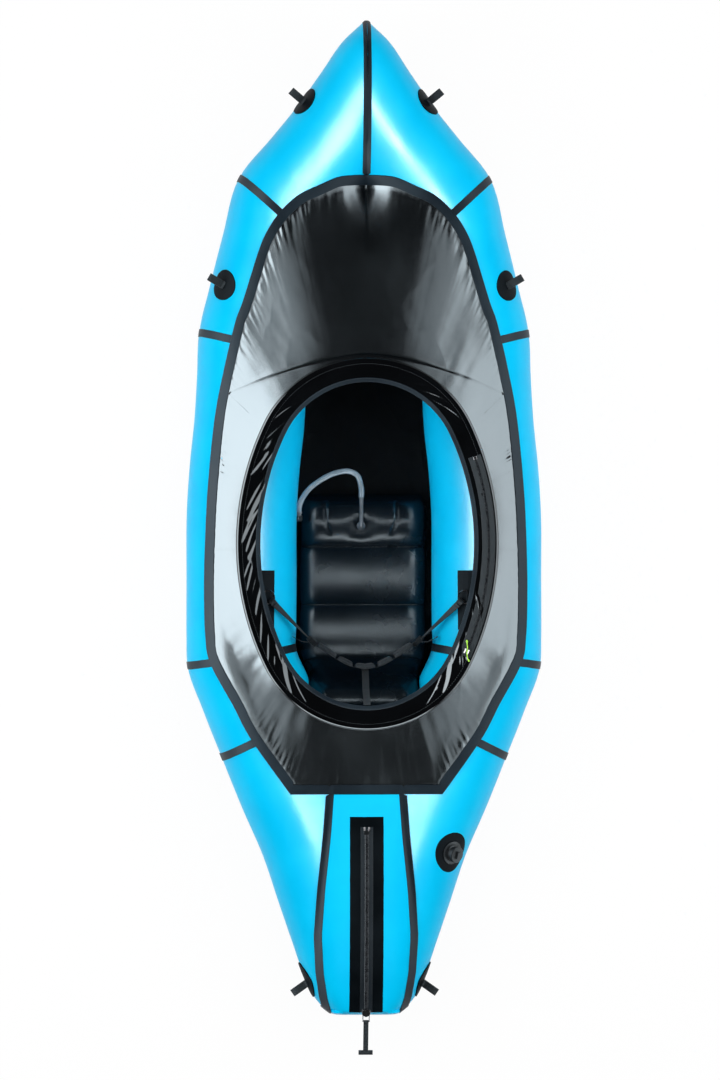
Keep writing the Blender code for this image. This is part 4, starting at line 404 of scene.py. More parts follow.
def rise(y):
    for end, way, power in (("bow", 1, 2), ("stern", -1, 1.8)):
        start = hullForm[end + "RiseStart"]
        if way * y > start:
            return hullForm[end + "Rise"] * ((way * y - start) / (halfLength - start)) ** power
    return 0.0


def ringSetup(row):
    outer = Vector((-row[0] * halfBeam, row[1] * halfLength, 0))
    inward = (Vector((0, row[2] * halfLength, 0)) - outer).normalized()
    return outer, inward, row[3] * hullForm["tubeRadius"], row[4] * hullForm["tubeRadius"], row[5]


ringSetups = [ringSetup(row) for row in ringRows]
ringSteps = [max((a[0] - b[0]).length, 0.02) for a, b in zip(ringSetups, ringSetups[1:])]


def ringPoint(i, angle, offset):
    outer, inward, width, height, flatter = ringSetups[i]
    across = (width * flatter if cos(angle) < 0 else width) + offset
    flat = outer + inward * (width - across * cos(angle))
    level = hullForm["bottom"] + height + (height + offset) * sin(angle)
    return Vector((flat.x, flat.y, level + rise(flat.y)))


def skin(place, angle, offset=0.0):
    i = int(clamp(math.floor(place), 0, lastRing - 1))
    t = place - i
    here, after = ringPoint(i, angle, offset), ringPoint(i + 1, angle, offset)
    step = ringSteps[i]
    chord = (after - here) / step
    if i > 0:
        back = (here - ringPoint(i - 1, angle, offset)) / ringSteps[i - 1]
        startSlope = (back * step + chord * ringSteps[i - 1]) / (step + ringSteps[i - 1])
    else:
        startSlope = chord
    if i < lastRing - 1:
        on = (ringPoint(i + 2, angle, offset) - after) / ringSteps[i + 1]
        endSlope = (chord * ringSteps[i + 1] + on * step) / (step + ringSteps[i + 1])
    else:
        endSlope = chord
    t2, t3 = t * t, t * t * t
    return (here * (2 * t3 - 3 * t2 + 1) + startSlope * ((t3 - 2 * t2 + t) * step)
            + after * (3 * t2 - 2 * t3) + endSlope * ((t3 - t2) * step))


def skinNormal(place, angle):
    along = skin(min(place + 0.03, lastRing), angle) - skin(max(place - 0.03, 0), angle)
    across = skin(place, angle + 0.02) - skin(place, angle - 0.02)
    normal = across.cross(along).normalized()
    inward = ringSetups[int(clamp(place, 0, lastRing))][1]
    outwards = inward * -cos(angle) + Vector((0, 0, sin(angle)))
    return normal if normal.dot(outwards) > 0 else -normal


skinTree = kdtree.KDTree((lastRing * 4 + 1) * 32)
skinSpots = []
for quarterPlace in range(lastRing * 4 + 1):
    for angleStep in range(32):
        spotAngle = 0.04 + angleStep * 0.098
        point = skin(quarterPlace / 4, spotAngle)
        skinTree.insert(Vector((point.x, point.y, 0)), len(skinSpots))
        skinSpots.append((quarterPlace / 4, spotAngle))
skinTree.balance()


def skinPlace(x, y):
    place, angle = skinSpots[skinTree.find(Vector((x, y, 0)))[1]]
    place, angle = clamp(place, 0.01, lastRing - 0.01), clamp(angle, 0.02, pi - 0.02)
    for _ in range(6):
        here = skin(place, angle)
        along = (skin(place + 0.001, angle) - here) / 0.001
        around = (skin(place, angle + 0.001) - here) / 0.001
        missX, missY = x - here.x, y - here.y
        area = along.x * around.y - along.y * around.x
        if abs(missX) + abs(missY) < 0.00002 or abs(area) < 1e-9:
            break
        place += clamp((missX * around.y - missY * around.x) / area, -0.4, 0.4)
        angle += clamp((along.x * missY - along.y * missX) / area, -0.4, 0.4)
        place, angle = clamp(place, 0, lastRing - 0.002), clamp(angle, 0.02, pi - 0.02)
    return place, angle


def widestAngle(place, limit, offset=0.0, below=1):
    if skin(place, below * pi, offset).x < -limit:
        return pi
    return bisect(0.0, pi, 22, lambda angle: skin(place, below * angle, offset).x < -limit)[0]


# the stern's middle panel
sternPanel = {
    "front": -0.527 * 1.3, "aft": -0.9919 * 1.3, "arcRadius": 1.200, "arcSetback": 0.930, "crown": 0.022,
    "edge": [(0.197, -0.500), (0.203, -0.549), (0.220, -0.633), (0.253, -0.746), (0.270, -0.838),
             (0.259, -0.912), (0.237, -0.964), (0.214, -0.992), (0.201, -1.000)],
}


def panelHalfWidth(y):
    return halfBeam * readTable(sternPanel["edge"], y / halfLength)


def panelPower(y, turn=None, upper=1):
    if turn is not None:
        return 9
    return 6 if upper < 0 else 2 + 2 * clamp((-y - 0.80 * halfLength) / (0.12 * halfLength), 0, 1)


def arcHeight(y):
    top = hullForm["bottom"] + 2 * hullForm["tubeRadius"] + sternPanel["crown"]
    run = y + sternPanel["arcSetback"]
    return top - sternPanel["arcRadius"] + sqrt(sternPanel["arcRadius"] ** 2 - run ** 2)


def hullTop(x, y, offset=0.0):
    away = abs(x)
    edge = panelHalfWidth(y)
    if y < sternPanel["front"] and away < edge:
        place, angle = skinPlace(-edge, y)
        edgeHeight = skin(place, angle, layers["panel"]).z
        height = mix(arcHeight(y), edgeHeight, (away / edge) ** panelPower(y))
        return Vector((x, y, height + layers["tape"] + offset))
    place, angle = skinPlace(-away, y)
    normal = skinNormal(place, angle)
    point = skin(place, angle) + normal * offset
    if away < offset:
        return Vector((x, y, point.z + offset * (1 / normal.z - normal.z)))
    return Vector((-point.x if x > 0 else point.x, point.y, point.z))


def seamPoint(place, upper, shift, offset):
    def outside(angle):
        point = skin(place, upper * angle, offset)
        return -point.x > panelHalfWidth(point.y) + shift

    return skin(place, upper * bisect(0.0, pi, 22, outside)[0], offset)


def seamEnd(shift):
    def outside(place):
        outer = skin(place, 0)
        return -outer.x > panelHalfWidth(outer.y) + shift

    return bisect(hullForm["seams"][3] + 1.0, float(lastRing), 26, outside)[0]


def sternRows(shift, offset):
    # up the top, round the stern and back along the bottom
    front = skinPlace(-panelHalfWidth(sternPanel["front"]), sternPanel["front"])[0]
    last = hullForm["seams"][3] + 7.0
    end = seamEnd(0.0)
    top, place = [], front
    while place < last - 0.05:
        top.append(place)
        place += 0.2
    top += [last, mix(last, end, 0.35), mix(last, end, 0.6)]
    turns = [75, 60, 48, 36, 24, 12]
    bent = [(mix(end, last, 0.3 * (t / 90) ** 2), t) for t in turns]
    rows = [(p, None, 1) for p in top] + [(p, t, 1) for p, t in bent] + [(end, 0, 1)]
    rows += [(p, -t, -1) for p, t in reversed(bent)]
    rows += [(p, None, -1) for p in reversed(top[18:])]
    shiftedEnd = seamEnd(shift)
    kept = min(last, shiftedEnd - 0.5)
    squeeze = (shiftedEnd - kept) / max(end - kept, 0.01)
    found = []
    for place, turn, upper in rows:
        moved = place if place <= kept else kept + (place - kept) * squeeze
        if turn == 0:
            found.append((skin(shiftedEnd, 0, offset), turn, upper))
        else:
            found.append((seamPoint(moved, upper, shift, offset), turn, upper))
    return found


def panelMiddle(edge, turn, upper, offset):
    if turn is not None:
        level = skin(lastRing, 0).z
        tall = arcHeight(sternPanel["aft"]) - level
        if turn < 0:
            tall = level - rise(sternPanel["aft"]) - hullForm["bottom"]
        s, c = sin(radians(turn)), cos(radians(turn))
        aft = mix(sternPanel["aft"], -halfLength - 0.0012, c)
        fuller = 0.80 + 0.20 * abs(turn / 90) ** 3
        return Vector((0, aft - offset * c, level + (fuller * tall + offset) * s))
    y = max(edge.y, sternPanel["aft"])
    if upper > 0:
        return Vector((0, y, arcHeight(y) + offset))
    return Vector((0, y, rise(y) + hullForm["bottom"] - 0.0006 - offset))


tapeHalf = 0.0105
ribbonShares = (-1, -0.93, -0.5, 0, 0.5, 0.93, 1)


def ribbonLifts(sunk=0.0004):
    return [(share, -sunk if abs(share) == 1 else layers["tape"]) for share in ribbonShares]


# tubes and floor
def buildTubes():
    names = ["bow_tube", "shoulder_tube", "side_tube", "quarter_tube", "stern_tube"]
    starts = [0] + list(hullForm["seams"])
    ends = list(hullForm["seams"]) + [lastRing]
    count = hullForm["aroundSteps"]
    for name, start, end in zip(names, starts, ends):
        steps = (end - start) * hullForm["betweenRings"]
        rings = []
        for i in range(steps + 1):
            place, ring = start + (end - start) * i / steps, []
            for k in range(count):
                angle = -pi + 2 * pi * (k + 0.5) / count
                point = skin(place, angle)
                # the fabric pulls in a little beside each taped seam
                near = min(abs(place - start) if start else 9, abs(end - place) if end != lastRing else 9)
                pull = exp(-near * 7) * (0.0006 + 0.0007 * ripple(angle * 9, place * 3, start))
                inward = ringSetups[min(int(place), lastRing)][1]
                point -= (Vector((0, 0, sin(angle))) - inward * cos(angle)) * pull
                point.x = min(point.x, -0.0002)
                ring.append(point)
            rings.append(ring)
        tube = loft(rings, capStart=not start, capEnd=end == lastRing)
        addPair(f"{name}_skin", name, *tube, "hull", "hull_fabric")


def buildSeamTapes():
    for name, at in zip(("bow", "shoulder", "quarter", "stern"), hullForm["seams"]):
        lift = layers["sternSeam"] if name == "stern" else layers["seam"]
        rings = []
        for share, up in ribbonLifts():
            ring = []
            for k in range(96):
                angle = -pi + 2 * pi * (k + 0.5) / 96
                along = (skin(at + 0.02, angle) - skin(at - 0.02, angle)).length / 0.04
                wander = 0.0005 * ripple(k * 0.35, at)
                place = at + (share * tapeHalf + wander) / max(along, 0.01)
                point = skin(place, angle, lift + up)
                point.x = min(point.x, -0.0001)
                ring.append(point)
            rings.append(ring)
        addPair(f"{name}_seam", f"{name}_seam_tape", *loft(rings), "tape", "seam_tape")


bowTape = {"lift": 0.0009, "noseLift": 0.0014, "noseEnd": 1.2, "start": 0.690 * halfLength - 0.008,
           "underEnd": 4.4, "topRows": 40, "underRows": 36}


def buildBowTape():
    def nosePlace(x):
        return next((i / 100 for i in range(300) if skin(i / 100, 0).x < -x), 3.0) if x > 0.003 else 0.0

    noseAt = {share: nosePlace(abs(share) * tapeHalf) for share in ribbonShares}
    top, under, last = bowTape["topRows"], bowTape["underRows"], bowTape["underEnd"]
    places = [i / 50 for i in range(300, 0, -1)]
    first = next(place for place in places if skin(place, widestAngle(place, 0)).y > bowTape["start"])
    path = [(first * (1 - k / top), 1) for k in range(top + 1)]
    path += [(last * k / under, -1) for k in range(1, under + 1)]
    rows = []
    for place, upper in path:
        row = []
        for share, raised in ribbonLifts(sunk=0.0006):
            at = max(place, noseAt[share])
            up = bowTape["lift"] + raised + (bowTape["noseLift"] if place < bowTape["noseEnd"] else 0.0)
            angle = widestAngle(at, abs(share) * tapeHalf, up, upper)
            point = skin(at, upper * angle, up)
            point.x = -abs(share) * tapeHalf if place > noseAt[share] else point.x
            row.append(Vector((point.x if share < 0 else -point.x, point.y, point.z)))
        rows.append(row)
    addPiece("bow_middle_tape", *loft(rows, closeColumns=False), "tape", ("bow_centre_tape",),
             slot="seam_tape")


def buildSternPanel():
    grid = []
    for edge, turn, upper in sternRows(0.0, layers["panel"] + 0.0006):
        middle = panelMiddle(edge, turn, upper, 0.0006)
        power = panelPower(edge.y, turn, upper)
        row = []
        for k in range(33):
            share = -1 + 2 * k / 32
            point = mix(middle, edge, abs(share) ** power)
            point.x = edge.x * -share
            row.append(point)
        grid.append(row)
    addPiece("stern_middle_skin", *loft(grid, closeColumns=False), "hull", ("stern_centre_panel",),
             slot="hull_fabric")
    lift = layers["panel"] + 0.0022
    outer, edges, bare = sternRows(tapeHalf, lift), sternRows(0.0, lift), sternRows(0.0, layers["panel"])
    rows = []
    for (a, _, _), (b, turn, upper), (c, _, _) in list(zip(outer, edges, bare))[1:]:
        middle = panelMiddle(c, turn, upper, lift)
        share = 1 - tapeHalf / abs(c.x)
        inner = mix(middle, b, share ** panelPower(c.y, turn, upper))
        inner.x = b.x * share
        down = Vector((0, 0, -0.0012 if upper > 0 else 0.0012)) if turn is None else Vector((0, 0.0012, 0))
        rows.append([a + down, mix(a, b, 0.08), mix(a, b, 0.5), b, mix(b, inner, 0.5), mix(b, inner, 0.92),
                     inner + down])
    addPair("stern_long_tape", "stern_tape", *loft(rows, closeColumns=False), "tape", "seam_tape")


floorForm = {"front": 0.850 * halfLength, "aft": -0.770 * halfLength, "lap": 0.040, "rows": 120,
             "columns": 24, "wrinkle": 0.0006, "lift": 0.0007}


def buildFloor():
    line = []
    for k in range(8 * lastRing + 1):
        outer, lowest = skin(k / 8, 0), skin(k / 8, -pi / 2)
        inward = Vector((lowest.x - outer.x, lowest.y - outer.y, 0)).normalized()
        line.append(Vector((lowest.x, lowest.y, 0)) - inward * floorForm["lap"])

    def halfAt(y):
        best = 0.0
        for a, b in zip(line, line[1:]):
            if (a.y - y) * (b.y - y) <= 0 and a.y != b.y:
                best = max(best, -mix(a.x, b.x, (y - a.y) / (b.y - a.y)))
        return best

    rows, columns, grid = floorForm["rows"], floorForm["columns"], []
    for i in range(rows + 1):
        y = mix(floorForm["front"], floorForm["aft"], i / rows)
        half = max(halfAt(y) - 0.0005, 0.002)
        row = []
        for k in range(columns + 1):
            share = -1 + 2 * k / columns
            sag = floorForm["wrinkle"] * ripple(share * 5, y * 9) * (1 - share * share)
            row.append(Vector((share * half, y, rise(y) + floorForm["lift"] + max(sag, -0.0003))))
        grid.append(row)
    piece = addPiece("floor_cloth", *loft(grid, closeColumns=False), "floor", ("floor_sheet",),
                     slot="floor_fabric", up=True)


buildTubes()
buildSeamTapes()
buildBowTape()
buildSternPanel()
buildFloor()
print("hull dressed")


# the coaming's own plane
coaming = {
    "halfWidth": 0.277, "halfLength": 0.420, "endRadius": 0.235, "band": 0.064, "bead": 0.0080,
    "centre": (0.0, -0.066, 0.347), "tilt": 2.4, "binding": 0.012, "turnSteps": 840, "bindingSteps": 480,
    "columns": 26, "beadStep": 16, "creaseDepth": 0.0042, "creaseSlant": 21, "around": 2.45,
    "stitch": 0.62, "stitchHalf": 0.0004, "stitchRise": 0.0005,
    "creases": ((76, 34, 1.2), (142, 16, 1.0), (222, 22, 1.4), (285, 24, 0.35), (330, 16, 0.5)),
}
coamingFrame = Matrix.Translation(coaming["centre"]) @ Matrix.Rotation(radians(coaming["tilt"]), 4, "X")
beadCentre = coaming["band"] - coaming["bead"]


def ovalArcs():
    wide, long, end = coaming["halfWidth"], coaming["halfLength"], coaming["endRadius"]
    side = (wide ** 2 + long ** 2 - 2 * long * end) / (2 * (wide - end))
    return side, side - wide, long - end


def oval(turn, out):
    side, sideCentre, endCentre = ovalArcs()
    end = coaming["endRadius"]
    bound = math.atan2(endCentre, sideCentre)
    quarter = turn % pi
    arc = min(quarter, pi - quarter)
    endSpan = pi / 2 - bound
    walked = arc / (pi / 2) * (end * endSpan + side * bound)
    if walked < end * endSpan:
        angle = pi / 2 - walked / end
        point = Vector((end * cos(angle), endCentre + end * sin(angle), 0))
    else:
        angle = bound - (walked - end * endSpan) / side
        point = Vector((side * cos(angle) - sideCentre, side * sin(angle), 0))
    normal = Vector((cos(angle), sin(angle), 0))
    if pi / 2 < turn % (2 * pi) < 3 * pi / 2:
        point.y, normal.y = -point.y, -normal.y
    if turn % (2 * pi) < pi:
        point.x, normal.x = -point.x, -normal.x
    return point + normal * out


def coamingTop(out):
    if out > beadCentre:
        return sqrt(max(coaming["bead"] ** 2 - (out - beadCentre) ** 2, 0))
    share = out / beadCentre
    return mix(-0.75 * coaming["bead"], coaming["bead"], ease(share) * 0.35 + share * 0.65)


def creaseAt(turn, out):
    # long slanted pulls in the vinyl, strongest where the list of creases says
    length = min(turn, 2 * pi - turn) * 0.40
    share, slant = out / beadCentre, radians(coaming["creaseSlant"])
    across = out * cos(slant) - length * sin(slant)
    along = length * cos(slant) + out * sin(slant)
    bell = sin(pi * clamp((share - 0.08) / 0.88, 0, 1)) ** 0.7
    degrees = math.degrees(turn)
    strength = sum(depth * exp(-((degrees - at) / spread) ** 2) for at, spread, depth in coaming["creases"])
    crest = max(1 - abs(ripple(across * 58, along * 5.5, 3.0)) * 2.6, 0) ** 1.4
    soft = ripple(across * 29, along * 4.5, 8.0)
    return coaming["creaseDepth"] * bell * (0.10 + strength) * (crest * 0.8 + soft * 0.9 - 0.25)


def ovalSweep(sectionAt, steps):
    rings = []
    for k in range(steps):
        turn = 2 * pi * k / steps
        rings.append([coamingFrame @ (oval(turn, out) + Vector((0, 0, up))) for out, up in sectionAt(turn)])
    return loft(rings, closeRows=True)


def buildCoaming():
    bead, near = coaming["bead"], 0.02 * beadCentre
    columns = coaming["columns"]
    outs = [(0.02 + 0.98 * k / columns) * beadCentre for k in range(columns)]

    def sleeveSection(turn):
        section = [(out, coamingTop(out) + creaseAt(turn, out)) for out in outs]
        for degrees in range(96, -97, -coaming["beadStep"]):
            section.append((beadCentre + bead * cos(radians(degrees)), bead * sin(radians(degrees))))
        return section + [(0.6 * beadCentre, -bead), (0.3 * beadCentre, -bead), (near, -bead)]

    piece = addPiece("coaming_vinyl_sleeve", *ovalSweep(sleeveSection, coaming["turnSteps"]), "vinyl",
                     ("coaming_sleeve",), slot="coaming_vinyl", crease=60)

    # the sewn line that holds the bead, a thin raised cord of fabric
    def bindingSection(turn):
        wide = coaming["binding"] + 0.0004 * ripple(turn * 40)
        rows = []
        for share, thick in ((1.0, 0.0001), (0.92, 0.0009), (0.5, 0.0009), (0.1, 0.0009)):
            out = mix(near, wide, share)
            rows.append((out, coamingTop(out) + thick + max(creaseAt(turn, wide * share), 0) * 0.4))
        rows += [(near - 0.0008, coamingTop(near) + 0.0004), (near - 0.0009, -bead + 0.0008)]
        rows += [(near - 0.0003, -bead - 0.0008), (wide, -bead - 0.0009), (wide, -bead + 0.0001)]
        return rows + [(near + 0.0004, -bead + 0.0004), (near + 0.0004, coamingTop(near) - 0.0004)]

    addPiece("coaming_rim_binding", *ovalSweep(bindingSection, coaming["bindingSteps"]), "tape",
             ("coaming_binding",), slot="seam_tape")

    # running stitches along the binding and inside the bead
    bodies, lift = [], Vector((0, 0, coaming["stitchRise"]))
    lines = ((coaming["binding"] * 0.80, 0.0052, 0.0011), (beadCentre - bead * 1.05, 0.0060, 0.0002))
    for out, pitch, over in lines:
        count = int(coaming["around"] / pitch)
        for k in range(count):
            turn = 2 * pi * k / count
            a, b = oval(turn, out), oval(turn + 2 * pi / count * coaming["stitch"], out)
            a.z = b.z = coamingTop(out) + creaseAt(turn, out) + over
            a, b = coamingFrame @ a, coamingFrame @ b
            side = (b - a).cross(Vector((0, 0, 1))).normalized() * coaming["stitchHalf"]
            ridge = [mix(a, b, 0.2) + lift, mix(a, b, 0.8) + lift]
            bodies.append(([a - side, a + side, b + side, b - side] + ridge,
                           [(0, 1, 4), (1, 2, 5, 4), (2, 3, 5), (3, 0, 4, 5)]))
    addPiece("coaming_stitches", *together(*bodies), "stitch", slot="seam_tape", up=True)


# the deck
deckForm = {
    "edge": [(0.000, 0.690), (0.085, 0.688), (0.167, 0.683), (0.273, 0.666), (0.381, 0.647), (0.479, 0.615),
             (0.548, 0.579), (0.593, 0.543), (0.640, 0.490), (0.690, 0.432), (0.729, 0.393), (0.792, 0.297),
             (0.842, 0.200), (0.880, 0.060), (0.896, -0.060), (0.900, -0.150), (0.893, -0.235),
             (0.866, -0.290), (0.740, -0.374), (0.640, -0.442), (0.423, -0.552), (0.210, -0.552),
             (0.0, -0.552)],
    "corner": 20, "tapeWidth": 0.025, "jointShare": 0.60, "cloth": 0.0005, "frontTurn": 42.4,
    "rearTurn": 92.0,
    "puckered": (14, 346, 156, 204, 60, 300), "valley": 10.5, "valleyReach": 0.20, "sag": 0.0035,
    "puckerDepth": 0.0026, "foldDepth": 0.0036, "smoothed": (120, 240), "smoothStep": 2.2,
    "weldWidth": 0.0045, "weldThick": 0.0009, "seamAt": 0.3255, "seamCurve": 0.074, "seamWide": 0.768,
    "seamPower": 1.6,
    "quarters": ((142, 26, 1.0), (322, 22, 0.85), (222, 26, 0.65)),
}


def smoothEdge():
    spots = [Vector((-a * halfBeam, b * halfLength, 0)) for a, b in deckForm["edge"]]
    corner = deckForm["corner"]
    head = [Vector((-spots[1].x, spots[1].y, 0))] + spots[: corner + 1]
    return curveThrough(head, 6)[6:] + spots[corner + 1:]


portEdge = smoothEdge()
wholeEdge = {-1: portEdge, 1: [Vector((-p.x, p.y, 0)) for p in portEdge]}


def deckEdgeHit(turn, inset=0.0):
    ray = Vector((-sin(turn), cos(turn), 0))
    centre = Vector((coaming["centre"][0], coaming["centre"][1], 0))
    edge = wholeEdge[-1 if turn <= pi else 1]
    for a, b in zip(edge, edge[1:]):
        sideA, sideB = ray.cross(a - centre).z, ray.cross(b - centre).z
        if sideA * sideB <= 0 and (a - centre).dot(ray) > 0:
            share = sideA / (sideA - sideB) if sideA != sideB else 0.0
            slant = abs(ray.cross((b - a).normalized()).z)
            return mix(a, b, share) - ray * (inset / max(slant, 0.3))
    return Vector(edge[0]) - ray * inset if cos(turn) > 0 else Vector(edge[-1]) - ray * inset


def coamingJoint(turn):
    ray = Vector((-sin(turn), cos(turn), 0))
    low, high = (0.0, pi) if turn <= pi else (pi, 2 * pi)
    out = deckForm["jointShare"] * coaming["band"]
    low, high = bisect(low, high, 24, lambda middle: ray.cross(oval(middle, out)).z < 0)
    local = oval((low + high) / 2, out)
    local.z = -coaming["bead"] - 0.0004
    return coamingFrame @ local


rayCache = {}


def deckRay(turn):
    turn %= 2 * pi
    key = round(turn, 6)
    if key not in rayCache:
        spots = [deckEdgeHit(turn, inset) for inset in (0.1 * deckForm["tapeWidth"], deckForm["tapeWidth"])]
        lap, inner = (hullTop(p.x, p.y, layers["deck"]) for p in spots)
        first, last = deckForm["smoothed"]
        if radians(first) < turn < radians(last):
            step = radians(deckForm["smoothStep"])
            inner.z = sum(edgeLevel(turn + step * k) for k in range(-2, 3)) / 5
        rayCache[key] = (lap, inner, coamingJoint(turn))
    return rayCache[key]


def edgeLevel(turn):
    spot = deckEdgeHit(turn % (2 * pi), deckForm["tapeWidth"])
    return hullTop(spot.x, spot.y, layers["deck"]).z


valleyEdge = radians(deckForm["valley"])
valleyCrest = edgeLevel(valleyEdge)


def valleyLift(turn, share, span, low):
    # stretched cloth soon bridges the valley between the two bow tubes
    if min(turn % (2 * pi), -turn % (2 * pi)) > valleyEdge:
        return 0.0
    return max(valleyCrest - low, 0) * ease(clamp(share * span / deckForm["valleyReach"], 0, 1)) * (1 - share)


def deckFold(turn, share, spot, span):
    # puckers beside the tape, long soft folds towards the rim and a broad unevenness
    along = spot.x * 1.3 + spot.y
    across, ahead = cos(turn), sin(turn)
    fromTape, fromRim = share * span, (1 - share) * span
    degrees = math.degrees(turn)
    corner = sum(exp(-((degrees - at) / 7) ** 2) for at in deckForm["puckered"])
    pucker = ripple(across * 34, ahead * 34, fromTape * 6)
    pucker += (0.6 + corner) * ripple(across * 96, ahead * 96, fromTape * 14)
    pucker *= deckForm["puckerDepth"] * (0.8 + corner) * exp(-fromTape / 0.020)
    pucker *= ease(clamp(fromTape / 0.003, 0, 1))
    quarter = 0.12 + sum(weight * exp(-((degrees - at) / spread) ** 2)
                         for at, spread, weight in deckForm["quarters"])
    long = ripple(across * 8, ahead * 8, fromRim * 5)
    long += 0.7 * ripple(across * 17 + 4.0, ahead * 17, fromRim * 8)
    arch = sin(pi * clamp(share, 0, 1))
    fold = deckForm["foldDepth"] * quarter * long * arch ** 0.8 * (0.35 + 0.65 * exp(-fromRim / 0.10))
    broad = 0.0013 * ripple(spot.x * 7, spot.y * 7, 7.0) + 0.0002 * ripple(along * 30, spot.x * 18, 9.0)
    return pucker + fold + (broad - deckForm["sag"]) * arch


def deckPoint(turn, share):
    lap, inner, joint = deckRay(turn)
    if share < 0:
        return mix(inner, lap, -share)
    spot = mix(inner, joint, share)
    span = (joint - inner).length
    spot.z += deckFold(turn % (2 * pi), share, spot, span) + valleyLift(turn, share, span, inner.z)
    if share < 0.4 and spot.y < -0.2:
        clear = layers["deck"] + 0.0008 * ease(clamp(share * 10, 0, 1))
        spot.z = max(spot.z, hullTop(spot.x, spot.y, clear).z)
    return spot


def seamShare(turn):
    if min(turn % (2 * pi), -turn % (2 * pi)) >= radians(deckForm["frontTurn"]):
        return 0.02
    _, inner, joint = deckRay(turn)

    def ahead(share):
        spot = mix(inner, joint, share)
        wide = abs(spot.x) / (deckForm["seamWide"] * halfBeam)
        back = deckForm["seamCurve"] * wide ** deckForm["seamPower"]
        return spot.y > halfLength * (deckForm["seamAt"] - back)

    return bisect(0.02, 0.98, 20, ahead)[0]


def buildDeck():
    front, rear = radians(deckForm["frontTurn"]), radians(deckForm["rearTurn"])

    def panel(name, node, start, end, steps, columns, spanAt):
        rows = []
        for i in range(steps + 1):
            turn = mix(start, end, i / steps)
            begin, finish = spanAt(turn)
            row = []
            for k in range(columns + 1):
                share = mix(begin, finish, k / columns)
                point = deckPoint(turn, share)
                # welded edges lie a little thicker
                edgeNear = min(i, steps - i) / 2.0 if abs(end - start) < 6 else 9
                if begin >= 0:
                    edgeNear = min(edgeNear, k / 1.5)
                if finish < 1:
                    edgeNear = min(edgeNear, (columns - k) / 1.5)
                point.z += 0.0006 * exp(-edgeNear * edgeNear) if edgeNear < 4 else 0.0
                row.append(point)
            rows.append(row)
        piece = addPiece(name, *loft(rows, closeColumns=False), "deck", (node,), slot="deck_fabric", up=True,
                         crease=60, thick=deckForm["cloth"])

    panel("foredeck_cloth", "foredeck", -front, front, 340, 64, lambda t: (-1, seamShare(t) - 0.002))
    panel("mid_deck_cloth", "mid_deck", -rear, rear, 420, 40,
          lambda t: (seamShare(t) + 0.002, 1) if abs(t) < front - 0.004 else (-1, 1))
    panel("rear_deck_cloth", "rear_deck", rear + 0.0012, 2 * pi - rear - 0.0012, 400, 44, lambda t: (-1, 1))

    # welded seam lines between the panels, with a lap of fabric under each
    bodies = []
    line = [deckPoint(t, seamShare(t)) for t in [mix(-front, front, k / 160) for k in range(161)]]
    sideLines = [[deckPoint(turn, k / 20) for k in range(21)] for turn in (rear, 2 * pi - rear)]
    for spots in [line] + sideLines:
        across = [heading(spots, i).cross(Vector((0, 0, 1))) for i in range(len(spots))]
        lifted = [p + Vector((0, 0, 0.0006)) for p in spots]
        bodies.append(flatStrap(lifted, across, deckForm["weldWidth"], deckForm["weldThick"]))
    addPiece("deck_welds", *together(*bodies), "deck", slot="deck_fabric", up=False)


def buildDeckTape():
    # one row stands exactly in each rear corner of the edge
    across, ahead = deckForm["edge"][deckForm["corner"]]
    corner = math.atan2(across * halfBeam, ahead * halfLength - coaming["centre"][1])
    corners, turns = (corner, 2 * pi - corner), [2 * pi * k / 540 for k in range(540)]
    turns = sorted([t for t in turns if min(abs(t - at) for at in corners) > 0.006] + list(corners))
    lifts = ((0.0, -0.0012), (0.04, 0.0006), (0.3, 0.0007), (0.6, 0.0007), (0.96, 0.0006), (1.0, -0.0012))
    rows = []
    for turn in turns:
        wander, row = 0.0006 * ripple(turn * 30, 2.0), []
        for share, up in lifts:
            spot = deckEdgeHit(turn, share * deckForm["tapeWidth"] + (wander if share > 0.5 else 0))
            up += layers["deckTape"] + 0.0003 * ripple(turn * 60, share * 2)
            row.append(hullTop(spot.x, spot.y, up))
        rows.append(row)
    addPiece("deck_edge_tape", *loft(rows, closeRows=True, closeColumns=False), "tape",
             ("deck_perimeter_tape",), slot="seam_tape", up=True)


buildCoaming()
buildDeck()
buildDeckTape()
print("deck and coaming dressed")


# tie-down loops and the valve's patch
loopForm = {
    "places": [("bow_loop", 3.80, 21.0, 18.0), ("mid_loop", 7.93, 41.0, 16.0),
               ("stern_loop", 23.30, 5.0, 2.0)],
    "patchRadius": 0.041, "width": 0.020, "webbing": 0.0020, "edgeWander": 0.0006, "patchThick": 0.0018,
    "patchLift": 0.0013, "stitchRows": 5, "stitchColumns": 6, "firstRow": -0.0098, "rowPitch": 0.0022,
    "stitchHalf": 0.0010,
    "shape": [(-0.0062, -0.002), (-0.0030, 0.005), (-0.0042, 0.013), (-0.0052, 0.024), (-0.0050, 0.034),
              (-0.0030, 0.0415), (0.0, 0.0440), (0.0030, 0.0415), (0.0050, 0.034), (0.0052, 0.024),
              (0.0042, 0.013), (0.0030, 0.005), (0.0062, -0.002)],
}


